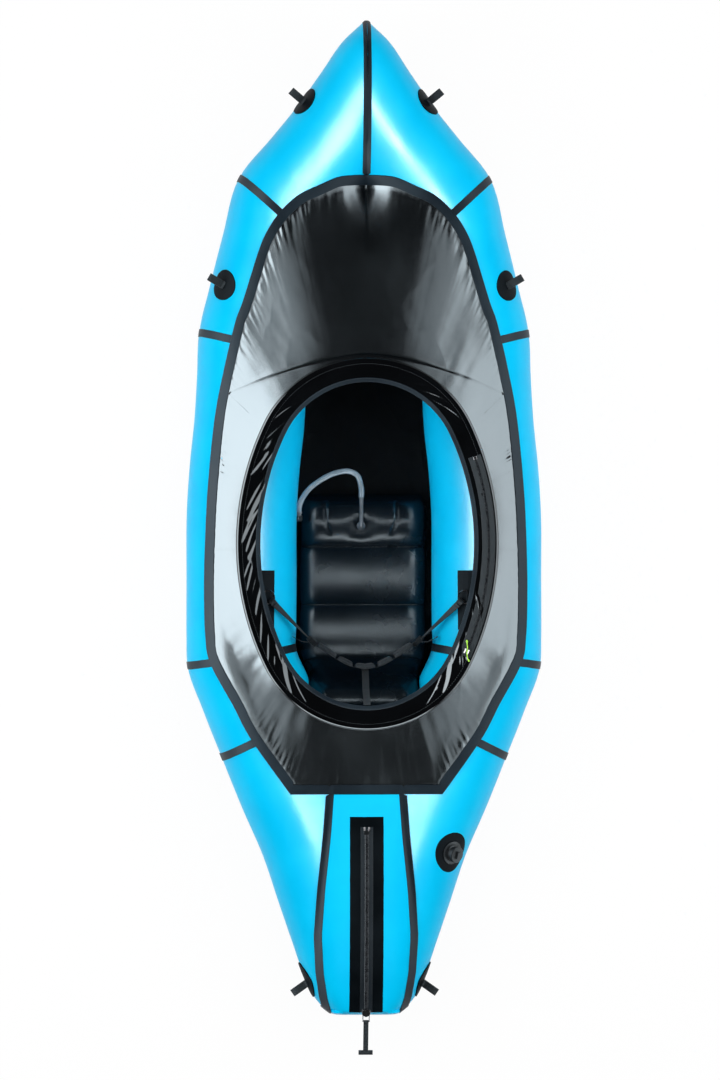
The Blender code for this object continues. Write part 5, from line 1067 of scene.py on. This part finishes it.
def skinDisc(place, angle, radius, lift, thick, sides=72, rows=14):
    along = (skin(place + 0.05, angle) - skin(place - 0.05, angle)).length / 0.1
    around = (skin(place, angle + 0.05) - skin(place, angle - 0.05)).length / 0.1
    shares = [0.02 + 0.96 * k / (rows - 2) for k in range(rows - 1)] + [1.0]
    rings = []
    for share in shares:
        ring = []
        for k in range(sides):
            a = 2 * pi * k / sides
            reach = share * (radius + loopForm["edgeWander"] * ripple(cos(a) * 3, sin(a) * 3, place))
            spot = (place + reach * cos(a) / along, angle + reach * sin(a) / around)
            height = lift + (thick if share < 1 else -0.0012) + 0.0002 * ripple(k * 0.4, share * 6)
            if 0.90 < share < 0.95:
                height -= 0.0003
            ring.append(skin(*spot) + skinNormal(*spot) * height)
        rings.append(ring)
    points, faces = loft(rings)
    return points, faces + [tuple(range(sides))]


def outwardDisc(name, disc, look, stands, slot, sign):
    piece = addPiece(name, flipX(disc[0], sign), disc[1], look, stands, slot=slot, crease=50)
    total = sum(face.normal.dot(Vector((face.center.x, 0, face.center.z - 0.15))) * face.area
                for face in piece.data.polygons)
    if total < 0:
        piece.data.flip_normals()


def buildLoops():
    wide, shape = loopForm["width"], [Vector(spot) for spot in loopForm["shape"]]
    for name, place, degrees, lean in loopForm["places"]:
        angle, lean = radians(degrees), radians(lean)
        disc = skinDisc(place, angle, loopForm["patchRadius"], loopForm["patchLift"], loopForm["patchThick"])
        origin = skin(place, angle) + skinNormal(place, angle) * 0.0026
        inward = ringSetups[int(place)][1]
        up = -inward * cos(lean) + Vector((0, 0, sin(lean)))
        ahead = (skin(place - 0.1, angle) - skin(place + 0.1, angle)).normalized()
        seat = frameAt(origin, up, ahead)
        path = [seat @ Vector((a, 0, b)) for a, b in curveThrough(shape, 4)]
        turned = seat.to_3x3()
        along = (turned @ Vector((0, 1, 0))).normalized()
        strap = flatStrap(path, [along] * len(path), wide, loopForm["webbing"])
        # rows of stitching where the loop meets the patch
        bars, half, lift = [], turned @ Vector((0.0004, 0, 0)), turned @ Vector((0, 0, 0.0006))
        columns, reach = loopForm["stitchColumns"], loopForm["stitchHalf"]
        for row in range(loopForm["stitchRows"]):
            for column in range(columns):
                x = loopForm["firstRow"] - loopForm["rowPitch"] * row
                y = wide * mix(-0.40, 0.40, column / (columns - 1))
                a, b = (seat @ Vector((x, y + end, 0.0011)) for end in (-reach, reach))
                bars.append(sewn(a, b, half, lift))
        sewing = together(*bars)
        for side, sign in bothSides:
            outwardDisc(f"{name}_disc_{side}", disc, "patch", (f"{name}_{side}",), "webbing", sign)
            addPiece(f"{name}_strap_{side}", flipX(strap[0], sign), strap[1], "webbing", slot="webbing")
            addPiece(f"{name}_stitches_{side}", flipX(sewing[0], sign), sewing[1], "stitch", slot="webbing")


def buildValvePatch():
    disc = skinDisc(20.05, radians(46), 0.0525, 0.00045, 0.0005, 96, 18)
    outwardDisc("valve_patch_disc", disc, "patch", ("main_valve_patch",), "webbing", 1)


# the cargo zip
cargoZip = {
    "front": -0.597 * 1.3, "length": 0.512, "patchWidth": 0.088, "tapeWidth": 0.033, "chainStart": 0.026,
    "toothPitch": 0.0030, "stitchPitch": 0.0042, "stitchLength": 0.0026, "stitchOut": 0.0142,
    "stitchedLength": 0.44, "stripRows": 90,
    "rail": [(0.0005, 0.0012), (0.0008, 0.0030), (0.0018, 0.0037), (0.0038, 0.0035), (0.0052, 0.0024),
             (0.0056, 0.0012)],
}


def panelSpot(x, y, lift):
    return Vector((x, y, hullTop(x, y, lift).z))


def stripOnPanel(half, front, aft, lift, thick, columns, wander):
    steps = cargoZip["stripRows"]
    shares = [-1.0, -0.985] + [-0.985 + 1.97 * k / columns for k in range(1, columns)] + [0.985, 1.0]
    rows = []
    for i in range(steps + 3):
        inside = 0 < i < steps + 2
        y = mix(front, aft, clamp((i - 1) / steps, 0, 1)) + {0: 0.0008, steps + 2: -0.0008}.get(i, 0.0)
        width = half + wander * ripple(y * 40, half)
        rows.append([panelSpot(width * share, y, lift + (thick if inside and abs(share) < 1 else -0.0004))
                     for share in shares])
    return loft(rows, closeColumns=False)


def buildCargoZip():
    front, aft = cargoZip["front"], cargoZip["front"] - cargoZip["length"]
    start = front - cargoZip["chainStart"]
    patch = stripOnPanel(cargoZip["patchWidth"] / 2, front, aft, 0.0003, 0.0007, 14, 0.0005)
    addPiece("cargo_welded_patch", *patch, "patch", ("cargo_zip_patch",), slot="seam_tape", up=True)
    cloth = stripOnPanel(cargoZip["tapeWidth"] / 2, start, aft, 0.0010, 0.0008, 10, 0.0002)
    addPiece("cargo_zip_tape_cloth", *cloth, "rubber", ("cargo_zip_chain",), slot="webbing", up=True)
    # the closed chain: two rails of teeth with a groove between them
    first, last = start - 0.019, aft + 0.001
    rails, teeth = [], []
    for sign in (-1, 1):
        rings = []
        for k in range(121):
            y = mix(first, last, k / 120)
            bare = panelSpot(0, y, 0.0).z
            rings.append([Vector((sign * x, y, bare + up)) for x, up in cargoZip["rail"]])
        rails.append(loft(rings, closeColumns=False))
    addPiece("cargo_zip_rails", *together(*rails), "teeth", slot="webbing", up=True, crease=25)
    for k in range(int((first - last) / cargoZip["toothPitch"])):
        for sign in (-1, 1):
            at = first - (k + 0.5 + 0.25 * sign) * cargoZip["toothPitch"]
            bare = panelSpot(0, at, 0.0).z
            xs = sorted((-0.0004 * sign, 0.0050 * sign))
            teeth.append(boxBody((xs[0], at - 0.0008, bare + 0.0020), (xs[1], at + 0.0008, bare + 0.0041)))
    addPiece("cargo_zip_teeth", *together(*teeth), "teeth", slot="webbing", crease=20)
    # stitched rows along both edges of the tape
    rows, pitch = [], cargoZip["stitchPitch"]
    for sign in (-1, 1):
        for k in range(int(cargoZip["stitchedLength"] / pitch)):
            spot = panelSpot(sign * cargoZip["stitchOut"], start - 0.002 - k * pitch, 0.0019)
            rows.append(sewn(spot, spot - Vector((0, cargoZip["stitchLength"], 0)), Vector((0.00035, 0, 0)),
                             Vector((0, 0, 0.0005))))
    addPiece("cargo_zip_stitches", *together(*rows), "stitch", slot="webbing", up=True)
    # the zip's top stop: two metal prongs ahead of a moulded block
    spot = panelSpot(0, start - 0.010, 0.0016)
    block = boxBody((-0.0078, -0.0085, 0), (0.0078, 0.0015, 0.0026))
    prongs = together(*(boxBody((x, 0.0010, 0), (x + 0.0038, 0.0105, 0.0022)) for x in (-0.0078, 0.0040)))
    for name, (points, faces), look in (("block", block, "plastic"), ("prongs", prongs, "metal")):
        stop = addPiece(f"cargo_zip_top_{name}", [p + spot for p in points], faces, look, slot="webbing",
                        crease=20)
        soften(stop, 0.0005)


def soften(piece, width):
    bevel = piece.modifiers.new("worn edges", "BEVEL")
    bevel.width, bevel.segments = width, 2
    bevel.limit_method = "ANGLE"
    bevel.angle_limit = radians(30)


def dressedCopy(name, node, look, body, width):
    # the CAD shape again, with its own cloth and rounded edges
    mesh = nodes[node].data.copy()
    mesh.materials.clear()
    mesh.materials.append(looks[look])
    piece = bpy.data.objects.new(name, mesh)
    bpy.context.scene.collection.objects.link(piece)
    soften(piece, width)
    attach(piece, body)
    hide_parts(node)


def repaint(look, *names):
    for name in names:
        nodes[name].data.materials.clear()
        nodes[name].data.materials.append(looks[look])


# the coaming's zip and its cord
rimZip = {"inner": 0.33 * coaming["band"], "outer": 0.86 * coaming["band"], "frontTurn": 19.0,
          "aftTurn": -24.5, "coilPitch": 0.0021, "rows": 140}


def sideSpot(angle, out, up):
    radius, centre, _ = ovalArcs()
    return coamingFrame @ Vector(((radius + out) * cos(angle) - centre, (radius + out) * sin(angle), up))


def buildRimZip():
    front, aft = radians(rimZip["frontTurn"]), radians(rimZip["aftTurn"])
    inner, outer = rimZip["inner"], rimZip["outer"]
    middle, rows = (inner + outer) / 2, []
    for i in range(rimZip["rows"] + 1):
        angle = mix(front, aft, i / rimZip["rows"])
        row = []
        for share in (0.0, 0.03, 0.2, 0.4, 0.5, 0.6, 0.8, 0.97, 1.0):
            out = mix(inner, outer, share) + 0.0003 * ripple(angle * 70, share)
            up = coamingTop(out) + (0.0016 if 0 < share < 1 else -0.0006)
            up += 0.0004 * ripple(angle * 40, share * 3, 2.0) if 0 < share < 1 else 0.0
            row.append(sideSpot(angle, out, up))
        rows.append(row)
    addPiece("rim_zip_tape", *loft(rows, closeColumns=False), "webbing", ("coaming_zip_tape",),
             slot="webbing", up=True)
    # the coil's turns, alternately left and right of the middle
    coils, base, span = [], coamingTop(middle) + 0.0012, rimZip["coilPitch"] / (ovalArcs()[0] + middle)
    for k in range(int((front - aft) / span) - 8):
        for sign, shift in ((-1, 0.0), (1, 0.5)):
            a = front - (4 + k + shift) * span
            corners = []
            for up, far in ((0, 0.0030), (0.0020, 0.0022)):
                for da, out in ((0, -0.0004), (span * 0.55, -0.0004), (span * 0.55, far), (0, far)):
                    corners.append(sideSpot(a + da, middle + sign * out, base + up))
            coils.append((corners, boxFaces))
    addPiece("rim_zip_coil", *together(*coils), "teeth", slot="webbing", crease=20)
    stop, ahead = boxBody((-0.0045, -0.004, 0), (0.0045, 0.004, 0.0030)), Vector((-sin(front), cos(front), 0))
    seat = frameAt(sideSpot(front - 0.007, middle, base), coamingFrame.to_3x3() @ Vector((0, 0, 1)), ahead)
    piece = addPiece("rim_zip_stop", [seat @ p for p in stop[0]], stop[1], "metal", slot="webbing", crease=20)
    soften(piece, 0.0006)


def buildPullCord():
    radius, slider = ovalArcs()[0], radians(rimZip["aftTurn"]) + 0.0113
    middle = (rimZip["inner"] + rimZip["outer"]) / 2
    top = coamingTop(middle) + 0.0082
    # of each knot or bend: along the zip, outward, thickness, and how far it lies up on the slider
    route = [(0.0317, -0.0101, 1.7, 0), (0.0254, -0.0072, 1.5, 0), (0.0173, -0.0031, 1.0, 0.88),
             (0.0091, 0.0, 1.0, 1), (0.0029, 0.0019, 1.0, 1), (-0.0041, 0.0060, 1.0, 0.88),
             (-0.0101, 0.0110, 1.5, 0), (-0.0139, 0.0170, 1.7, 0)]
    path = []
    for along, out, thick, raised in route:
        up = mix(coamingTop(middle + out) + 0.0015, top, raised) + 0.0003 + thick * 0.0015
        path.append(sideSpot(slider + along / radius, middle + out, up))
    path = curveThrough(path, 4)
    count, sides = len(path), 16
    rings, side = [], None
    for i, point in enumerate(path):
        ahead = heading(path, i)
        side = side or ahead.orthogonal().normalized()
        side = (side - ahead * side.dot(ahead)).normalized()
        other = ahead.cross(side)
        knot = exp(-((i - 2.0) / 1.6) ** 2) + exp(-((i - count + 3.0) / 1.6) ** 2)
        ring = []
        for k in range(sides):
            a = 2 * pi * k / sides
            braid = 0.00012 * sin(a * 4 + i * 1.9) * cos(a * 4 - i * 1.9)
            bulge = 0.0015 * (1 + 0.95 * knot * (1 + 0.25 * sin(a * 2 + i)))
            ring.append(point + (side * cos(a) + other * sin(a)) * (bulge + braid))
        rings.append(ring)
    piece = addPiece("rim_pull_cord", *loft(rings, capStart=True, capEnd=True), "cord",
                     ("coaming_pull_cord",), body="coaming_slider", slot="green_cord")


buildLoops()
buildValvePatch()
buildCargoZip()
buildRimZip()
buildPullCord()
dressedCopy("cargo_webbing_tab", "cargo_pull_tab", "webbing", "cargo_pull", 0.0006)
for side, _ in bothSides:
    dressedCopy(f"anchor_cloth_{side}", f"anchor_patch_{side}", "patch", "hull", 0.0004)
repaint("metal", "cargo_zip_slider", "cargo_pull_link", "coaming_zip_slider", "d_ring_port",
        "d_ring_starboard")
print("fittings dressed")


# the inflated seat
seatForm = {"front": 0.052 * 1.3, "length": 0.452, "back": 0.200, "thick": 0.078, "pillowRise": 0.022,
            "pitch": 0.1535, "channels": 4, "sideGap": 0.003, "rowsPerChannel": 32, "columns": 92,
            "puckerDepth": 0.0014, "panelHalf": 0.094, "panelEnd": 0.116, "panelGroove": 0.0045}


def seatSpine(share):
    total = seatForm["length"] + seatForm["back"]
    walked, bend, lean = share * total, 0.06, radians(62)
    base = 0.0010 + 0.0003 + seatForm["thick"] / 2
    if walked < seatForm["length"] - bend:
        return seatForm["front"] - walked, base, 0.0
    turn = clamp((walked - seatForm["length"] + bend) / (2 * bend), 0, 1)
    radius, tilt = 2 * bend / lean, lean * turn
    over = max(walked - seatForm["length"] - bend, 0)
    y = seatForm["front"] - (seatForm["length"] - bend) - radius * sin(tilt) - over * cos(lean)
    return y, base + radius * (1 - cos(tilt)) + over * sin(lean), tilt


def cockpitHalf(y):
    spots = [skin(place / 2, pi) for place in range(16, 38)]
    return readTable([(-p.x, p.y) for p in spots], y)


def buildSeat():
    total = seatForm["length"] + seatForm["back"]
    pitch, thick, front = seatForm["pitch"], seatForm["thick"], seatForm["front"]
    edges = [0.0] + [(i + 0.92) * pitch / total for i in range(seatForm["channels"] - 1)] + [1.0]
    stations = []
    for a, b in zip(edges, edges[1:]):
        for k in range(seatForm["rowsPerChannel"]):
            stations.append(mix(a, b, 0.5 - 0.5 * cos(pi * k / seatForm["rowsPerChannel"])))
    stations.append(1.0)
    columns, rings = seatForm["columns"], []
    for share in stations:
        y, z, tilt = seatSpine(share)
        near = min(abs(share - e) for e in edges) * total
        seamNear = min(abs(share - e) for e in edges[1:-1]) * total
        swell = sqrt(clamp(1 - (1 - clamp(near / (pitch * 0.5), 0, 1)) ** 2, 0, 1))
        ends = clamp(min(share, 1 - share) * total / (thick * 0.5), 0, 1)
        roundEnd = sqrt(1 - (1 - ends) ** 2)
        half = min(cockpitHalf(min(y, front)), cockpitHalf(front)) - seatForm["sideGap"]
        wide = half * (0.962 + 0.036 * swell) * (0.90 + 0.10 * roundEnd)
        top = thick * 0.5 * (0.58 + 0.42 * swell) * max(roundEnd, 0.10)
        low = thick * 0.5 * max(roundEnd, 0.10)
        if share < edges[1]:
            top += seatForm["pillowRise"] * sin(pi * share / edges[1]) ** 0.7
        normal, middle = Vector((0, sin(tilt), cos(tilt))), Vector((0, y, z))
        walked = share * total
        ring = []
        for k in range(columns + 1):
            x = cos(pi * k / columns)
            shape = (1 - abs(x) ** 7) ** 0.55 if abs(x) < 1 else 0.0
            # the fabric puckers beside each seam and at both long edges
            wrinkle = seatForm["puckerDepth"] * exp(-seamNear / 0.016) * ripple(x * 11, walked * 8, 2.0)
            wrinkle += 0.0022 * exp(-(1 - abs(x)) / 0.10) * ripple(walked * 42, x * 3, 5.0) * shape
            wrinkle += 0.0003 * ripple(x * 3.2, walked * 14, 9.0) * shape
            dimple = 0.0
            if share < edges[1]:
                dx, dy = x * wide + 0.006, walked - 0.088
                dimple = 0.010 * exp(-(dx * dx + dy * dy) / 0.00085)
                # the seam of the panel that holds the stem
                off = abs(dx) - seatForm["panelHalf"] + 0.35 * max(walked - 0.07, 0)
                reach = ease(clamp((seatForm["panelEnd"] - walked) / 0.02, 0, 1))
                reach *= ease(clamp((walked - 0.016) / 0.016, 0, 1))
                dimple += seatForm["panelGroove"] * exp(-(off / 0.0046) ** 2) * reach
                rays = ripple(math.atan2(dy, dx) * 2.2, 3.0) * exp(-(dx * dx + dy * dy) / 0.0030)
                wrinkle += 0.0012 * rays * shape
            up = (top - dimple) * shape + wrinkle * 0.9 - 0.0008 * shape
            ring.append(middle + Vector((x * wide, 0, 0)) + normal * up)
        for k in range(1, columns):
            x = -cos(pi * k / columns)
            shape = (1 - abs(x) ** 4) ** 0.5
            ring.append(middle + Vector((x * wide, 0, 0)) - normal * (low * shape))
        rings.append(ring)
    piece = addPiece("seat_inflated", *loft(rings, capStart=True, capEnd=True), "seat", ("seat_cushion",),
                     slot="seat_fabric", crease=70)
    # narrow welded bands in the channels
    bodies = []
    for edge in edges[1:-1]:
        index = min(range(len(stations)), key=lambda i: abs(stations[i] - edge))
        tilt = seatSpine(stations[index])[2]
        normal = Vector((0, sin(tilt), cos(tilt)))
        along = Vector((0, cos(tilt), -sin(tilt)))
        path = [p + normal * 0.0009 for p in rings[index][2:columns - 1]]
        bodies.append(flatStrap(path, [along] * len(path), 0.0042, 0.0008))
    addPiece("seat_welds", *together(*bodies), "seat", slot="seat_fabric")


# stem, clear hose and mouth valve
hoseForm = {"stemX": -0.006, "startY": seatForm["front"] - 0.088, "diameter": 0.015,
            "top": 0.0013 + seatForm["thick"] + seatForm["pillowRise"]}


def buildHose():
    x0, y0, top = hoseForm["stemX"], hoseForm["startY"], hoseForm["top"]
    a, b = Vector((x0, y0 + 0.045, top + 0.0003 + 0.021)), Vector((x0, y0 + 0.078, top + 0.0003 + 0.026))
    ahead = (b - a).normalized()
    start = b + ahead * 0.0003
    rest = [(-0.010, 0.133, 0.042), (-0.028, 0.145, 0.044), (-0.050, 0.146, 0.043), (-0.080, 0.138, 0.040),
            (-0.110, 0.122, 0.036), (-0.137, 0.101, 0.030), (-0.155, 0.077, 0.024), (-0.1635, 0.055, 0.019),
            (-0.1645, 0.040, 0.017)]
    route = [start, start + ahead * 0.015, start + ahead * 0.031 + Vector((-0.002, 0, 0))]
    route += [Vector((x0 + dx, y0 + dy, top + dz)) for dx, dy, dz in rest]
    path = curveThrough(route, 4)
    curve = bpy.data.curves.new("hose", "CURVE")
    curve.dimensions, curve.bevel_depth = "3D", hoseForm["diameter"] / 2
    curve.bevel_resolution, curve.use_fill_caps = 6, True
    spline = curve.splines.new("POLY")
    spline.points.add(len(path) - 1)
    for spot, point in zip(path, spline.points):
        point.co = (*spot, 1.0)
    curve.materials.append(looks["hose"])
    hose = bpy.data.objects.new("seat_clear_hose", curve)
    bpy.context.scene.collection.objects.link(hose)
    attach(hose, "hull")
    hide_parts("seat_hose")


# the backband
bandForm = {"drop": 0.003025 + 0.290 - 0.085 - 0.004, "webbing": 0.0020, "width": 0.025, "padThick": 0.013,
            "padHeight": 0.080, "padRows": 24, "padSides": 28, "stitchColumns": (4, 24),
            "lockHalf": 0.0066, "lockRails": (-0.0052, 0.0052), "railHalf": 0.0016,
            "lockBars": (-0.0150, -0.0030, 0.0095), "barHalf": 0.0022, "lockRims": (-0.0151, 0.0151),
            "rimHalf": 0.0015,
            "pads": [(0.02, 0.17), (0.20, 0.36), (0.39, 0.61), (0.64, 0.80), (0.83, 0.98)],
            "spots": [(0.303, -0.248), (0.286, -0.254), (0.178, -0.280), (0.093, -0.296), (0.0, -0.303)]}


def bandLine():
    spots = [Vector((-a * halfBeam * 0.97, b * halfLength, bandForm["drop"])) for a, b in bandForm["spots"]]
    half = curveThrough(spots[1:], 10)
    return spots, half + [Vector((-p.x, p.y, p.z)) for p in half[-2::-1]]


def buildBackband():
    spots, path = bandLine()
    up = Vector((0, 0, 1))
    strap = flatStrap(path, [up] * len(path), bandForm["width"], bandForm["webbing"])
    addPiece("backband_webbing", *strap, "webbing", ("backband",), body="backband", slot="webbing")
    count, padRows, padSides = len(path) - 1, bandForm["padRows"], bandForm["padSides"]
    pads, seams = [], []
    for index, (start, end) in enumerate(bandForm["pads"]):
        rings = []
        for i in range(padRows + 1):
            at = mix(start, end, i / padRows) * count
            j = int(clamp(math.floor(at), 0, count - 1))
            spot, ahead = mix(path[j], path[j + 1], at - j), (path[j + 1] - path[j]).normalized()
            front = up.cross(ahead)
            front = -front if front.y < 0 else front
            edge = sqrt(max(1 - abs(2 * i / padRows - 1) ** 5, 0.0))
            ring = []
            for k in range(padSides):
                a = 2 * pi * k / padSides
                high = math.copysign(abs(sin(a)) ** 0.55, sin(a)) * bandForm["padHeight"] / 2
                high *= 0.90 + 0.10 * edge
                deep = math.copysign(abs(cos(a)) ** 0.7, cos(a))
                swell = 0.12 + 0.88 * (0.5 + 0.5 * deep) * (0.45 + 0.55 * edge)
                depth = 0.0006 + bandForm["padThick"] * (swell if deep >= 0 else 0.12 * (1 + deep))
                crumple = 0.0007 * ripple(i * 0.45, high * 60, index)
                ring.append(spot + front * (depth + (crumple if deep > 0 else 0)) + up * high)
            rings.append(ring)
        pads.append(loft(rings, capStart=True, capEnd=True))
        # a stitched line along the pad's upper and lower edge
        top, bottom = bandForm["stitchColumns"]
        inside = rings[2:padRows - 1]
        border = [ring[top] for ring in inside] + [ring[bottom] for ring in reversed(inside)]
        lift = Vector((0, 0.0006, 0))
        for a, b in zip(border, border[1:] + border[:1]):
            if (b - a).length <= 0.02:
                seams.append(sewn(a + lift * 0.2, mix(a, b, 0.6) + lift * 0.2, up * 0.0004, lift * 0.8))
    piece = addPiece("backband_pads", *together(*pads), "foam", body="backband", slot="webbing", crease=60)
    addPiece("backband_stitches", *together(*seams), "stitch", body="backband", slot="webbing")
    for side, sign in bothSides:
        dressedCopy(f"side_strap_{side}", f"backband_strap_{side}", "webbing", "backband", 0.0004)
        # the plastic ladder lock over the strap's sewn end
        seat, parts = frameAt(spots[0], up, (spots[1] - spots[0]).normalized()), []
        half, thin, deep, rim = (bandForm[key] for key in ("lockHalf", "railHalf", "barHalf", "rimHalf"))
        for x in bandForm["lockRails"]:
            parts.append(boxBody((x - thin, -0.016, -0.0150), (x + thin, 0.013, 0.0150), seat))
        for y in bandForm["lockBars"]:
            for z in bandForm["lockRims"]:
                parts.append(boxBody((-half, y - deep, z - rim), (half, y + deep, z + rim), seat))
        points, faces = together(*parts)
        piece = addPiece(f"ladder_lock_{side}", flipX(points, sign), faces, "plastic", body="backband",
                         slot="webbing", crease=20)
        soften(piece, 0.0006)
    dressedCopy("rear_centre_strap", "backband_centre_strap", "webbing", "hull", 0.0004)


buildSeat()
buildHose()
buildBackband()
repaint("plastic", "main_valve_body", "main_valve_cap", "mouth_valve_cap", "coaming_hoop")
repaint("stem", "mouth_valve_body", "seat_stem")
print("cockpit dressed")


# camera, light and studio
studio = {"middle": (-0.0169, -0.0552), "cameraHeight": 12.0, "pictureHeight": 2.813, "aimHeight": 0.29,
          "lean": 2.5, "fill": 0.05, "horizon": 0.15, "zenith": 0.02, "floorGlow": 0.95, "floorGloss": 0.15,
          "floorReach": 14.0, "floorLevel": -0.0005}
white = (1, 1, 1, 1)
# of each box: place, aim, size along and up, power, and whether it counts in the gloss, the shading or both
boxes = {
    "overhead shade box": ((0.0, 0.0, 4.5), (0, 0, 0.2), (7.0, 7.0), 215.0, False, True),
    "port shade box": ((-2.4, -0.1, 2.3), (0, 0, 0.25), (2.4, 0.9), 48.0, False, True),
    "starboard shade box": ((2.4, -0.1, 2.3), (0, 0, 0.25), (2.4, 0.9), 40.0, False, True),
    "bow shade box": ((0.0, 3.0, 2.6), (0, 0.4, 0.25), (1.6, 0.8), 14.0, False, True),
    "port wall": ((-2.7, -0.3, 1.6), (0, -0.3, 0.3), (5.2, 2.5), 270.0, True, False),
    "starboard wall": ((2.7, -0.3, 1.6), (0, -0.3, 0.3), (5.2, 2.5), 140.0, True, False),
    "stern wall": ((0.0, -3.6, 1.9), (0, -0.3, 0.3), (4.4, 1.8), 190.0, True, False),
    "port sky": ((-1.55, -0.2, 3.2), (0, -0.2, 0.3), (3.6, 1.3), 18.0, True, False),
    "starboard sky": ((1.55, -0.2, 3.2), (0, -0.2, 0.3), (3.6, 1.3), 18.0, True, False),
    "bow glow": ((-0.08, 0.74, 2.3), (0, 0.8, 0.3), (1.5, 0.26), 480.0, True, False),
    "stern glow": ((-0.06, -0.87, 2.3), (0, -0.8, 0.3), (0.8, 0.30), 170.0, True, False),
    "port tube glow": ((1.15, -0.05, 2.60), (0, -0.05, 0.3), (1.5, 0.22), 430.0, True, False),
    "starboard tube glow": ((-1.15, -0.05, 2.60), (0, -0.05, 0.3), (1.5, 0.22), 380.0, True, False),
    "seat glow": ((0.0, -0.20, 2.6), (0, -0.15, 0.1), (6.0, 0.14), 40.0, True, False),
}
# the pieces that each light is kept to, by parts of their names
keptTo = {
    "bow glow": ("_tube_skin_",), "stern glow": ("_tube_skin_",), "seat glow": ("seat_",),
    "port tube glow": ("side_tube_skin_port",), "starboard tube glow": ("side_tube_skin_starboard",),
    "port sky": ("_cloth",), "starboard sky": ("_cloth",), "stern wall": ("deck_cloth", "coaming_", "seat_"),
}
hullSkins = ("_tube_skin_", "stern_middle_skin")


def buildStudio():
    scene = bpy.context.scene
    cameraData = bpy.data.cameras.new("camera")
    camera = bpy.data.objects.new("camera", cameraData)
    scene.collection.objects.link(camera)
    lean = radians(studio["lean"])
    reach = studio["cameraHeight"] - studio["aimHeight"]
    aim = Vector((*studio["middle"], studio["aimHeight"]))
    camera.location = aim + Vector((-sin(lean), 0, cos(lean))) * reach
    camera.rotation_euler = (0, -lean, 0)
    cameraData.sensor_fit, cameraData.sensor_height, cameraData.clip_end = "VERTICAL", 36.0, 60.0
    cameraData.lens = cameraData.sensor_height * reach / studio["pictureHeight"]
    scene.camera = camera

    for name, (place, aim, size, power, gloss, shade) in boxes.items():
        data = bpy.data.lights.new(name, "AREA")
        data.shape = "RECTANGLE"
        data.size, data.size_y = size
        data.energy = power
        lamp = bpy.data.objects.new(name, data)
        scene.collection.objects.link(lamp)
        lamp.location = place
        lamp.rotation_euler = (Vector(aim) - Vector(place)).to_track_quat("-Z", "Y").to_euler()
        lamp.visible_camera = False
        lamp.visible_glossy, lamp.visible_diffuse = gloss, shade
        if gloss:
            lit = bpy.data.collections.new(name + " receivers")
            for piece in scene.objects:
                onHull = any(word in piece.name for word in hullSkins)
                if any(word in piece.name for word in keptTo[name]) if name in keptTo else not onHull:
                    lit.objects.link(piece)
            lamp.light_linking.receiver_collection = lit

    world = bpy.data.worlds.new("white studio")
    scene.world = world
    world.use_nodes = True
    tree = world.node_tree
    tree.nodes.clear()
    rays = makeNode(tree, "LightPath").outputs
    seen = mathNode(tree, "MAXIMUM", rays["Is Camera Ray"], rays["Is Transmission Ray"])
    # seen in the gloss, the studio is white at the sides and dim overhead
    split = makeNode(tree, "SeparateXYZ", {0: makeNode(tree, "TexCoord").outputs["Generated"]})
    height = mathNode(tree, "MULTIPLY", mathNode(tree, "SUBTRACT", split.outputs["Z"], 0.10), 2.2, True)
    drop = mathNode(tree, "MULTIPLY", height, studio["horizon"] - studio["zenith"])
    level = mathNode(tree, "SUBTRACT", studio["horizon"], drop)
    glossy = mathNode(tree, "MULTIPLY", rays["Is Glossy Ray"], level)
    share = mathNode(tree, "MAXIMUM", seen, glossy)
    notGloss = mathNode(tree, "SUBTRACT", 1.0, rays["Is Glossy Ray"])
    faint = mathNode(tree, "MULTIPLY", notGloss, studio["fill"])
    dim = makeNode(tree, "Background", {"Color": white, "Strength": faint})
    bright = makeNode(tree, "Background", {"Color": white, "Strength": 1.0})
    blend = makeNode(tree, "MixShader", {0: share, 1: dim.outputs[0], 2: bright.outputs[0]})
    makeNode(tree, "OutputWorld", {"Surface": blend.outputs[0]})

    floorMesh = bpy.data.meshes.new("studio floor")
    reach, ground = studio["floorReach"], studio["floorLevel"]
    corners = [(x * reach, y * reach, ground) for x, y in ((-1, -1), (1, -1), (1, 1), (-1, 1))]
    floorMesh.from_pydata(corners, [], [(0, 1, 2, 3)])
    floor = bpy.data.objects.new("studio floor", floorMesh)
    scene.collection.objects.link(floor)
    look = bpy.data.materials.new("studioWhite")
    look.use_nodes = True
    tree = look.node_tree
    shader = tree.nodes["Principled BSDF"]
    shader.inputs["Base Color"].default_value = (0.9, 0.9, 0.9, 1)
    shader.inputs["Roughness"].default_value = 0.9
    shader.inputs["Specular IOR Level"].default_value = 0.0
    glow = makeNode(tree, "Emission", {"Color": white, "Strength": 1.0})
    rays = makeNode(tree, "LightPath").outputs
    mirrored = mathNode(tree, "MULTIPLY", rays["Is Glossy Ray"], studio["floorGloss"])
    seen = mathNode(tree, "MULTIPLY", rays["Is Camera Ray"], studio["floorGlow"])
    share = mathNode(tree, "ADD", seen, mirrored)
    blend = makeNode(tree, "MixShader", {0: share, 1: shader.outputs[0], 2: glow.outputs[0]})
    tree.links.new(blend.outputs[0], tree.nodes["Material Output"].inputs["Surface"])
    floorMesh.materials.append(look)


buildStudio()
bpy.context.scene.view_settings.view_transform = "Standard"
print("studio ready")
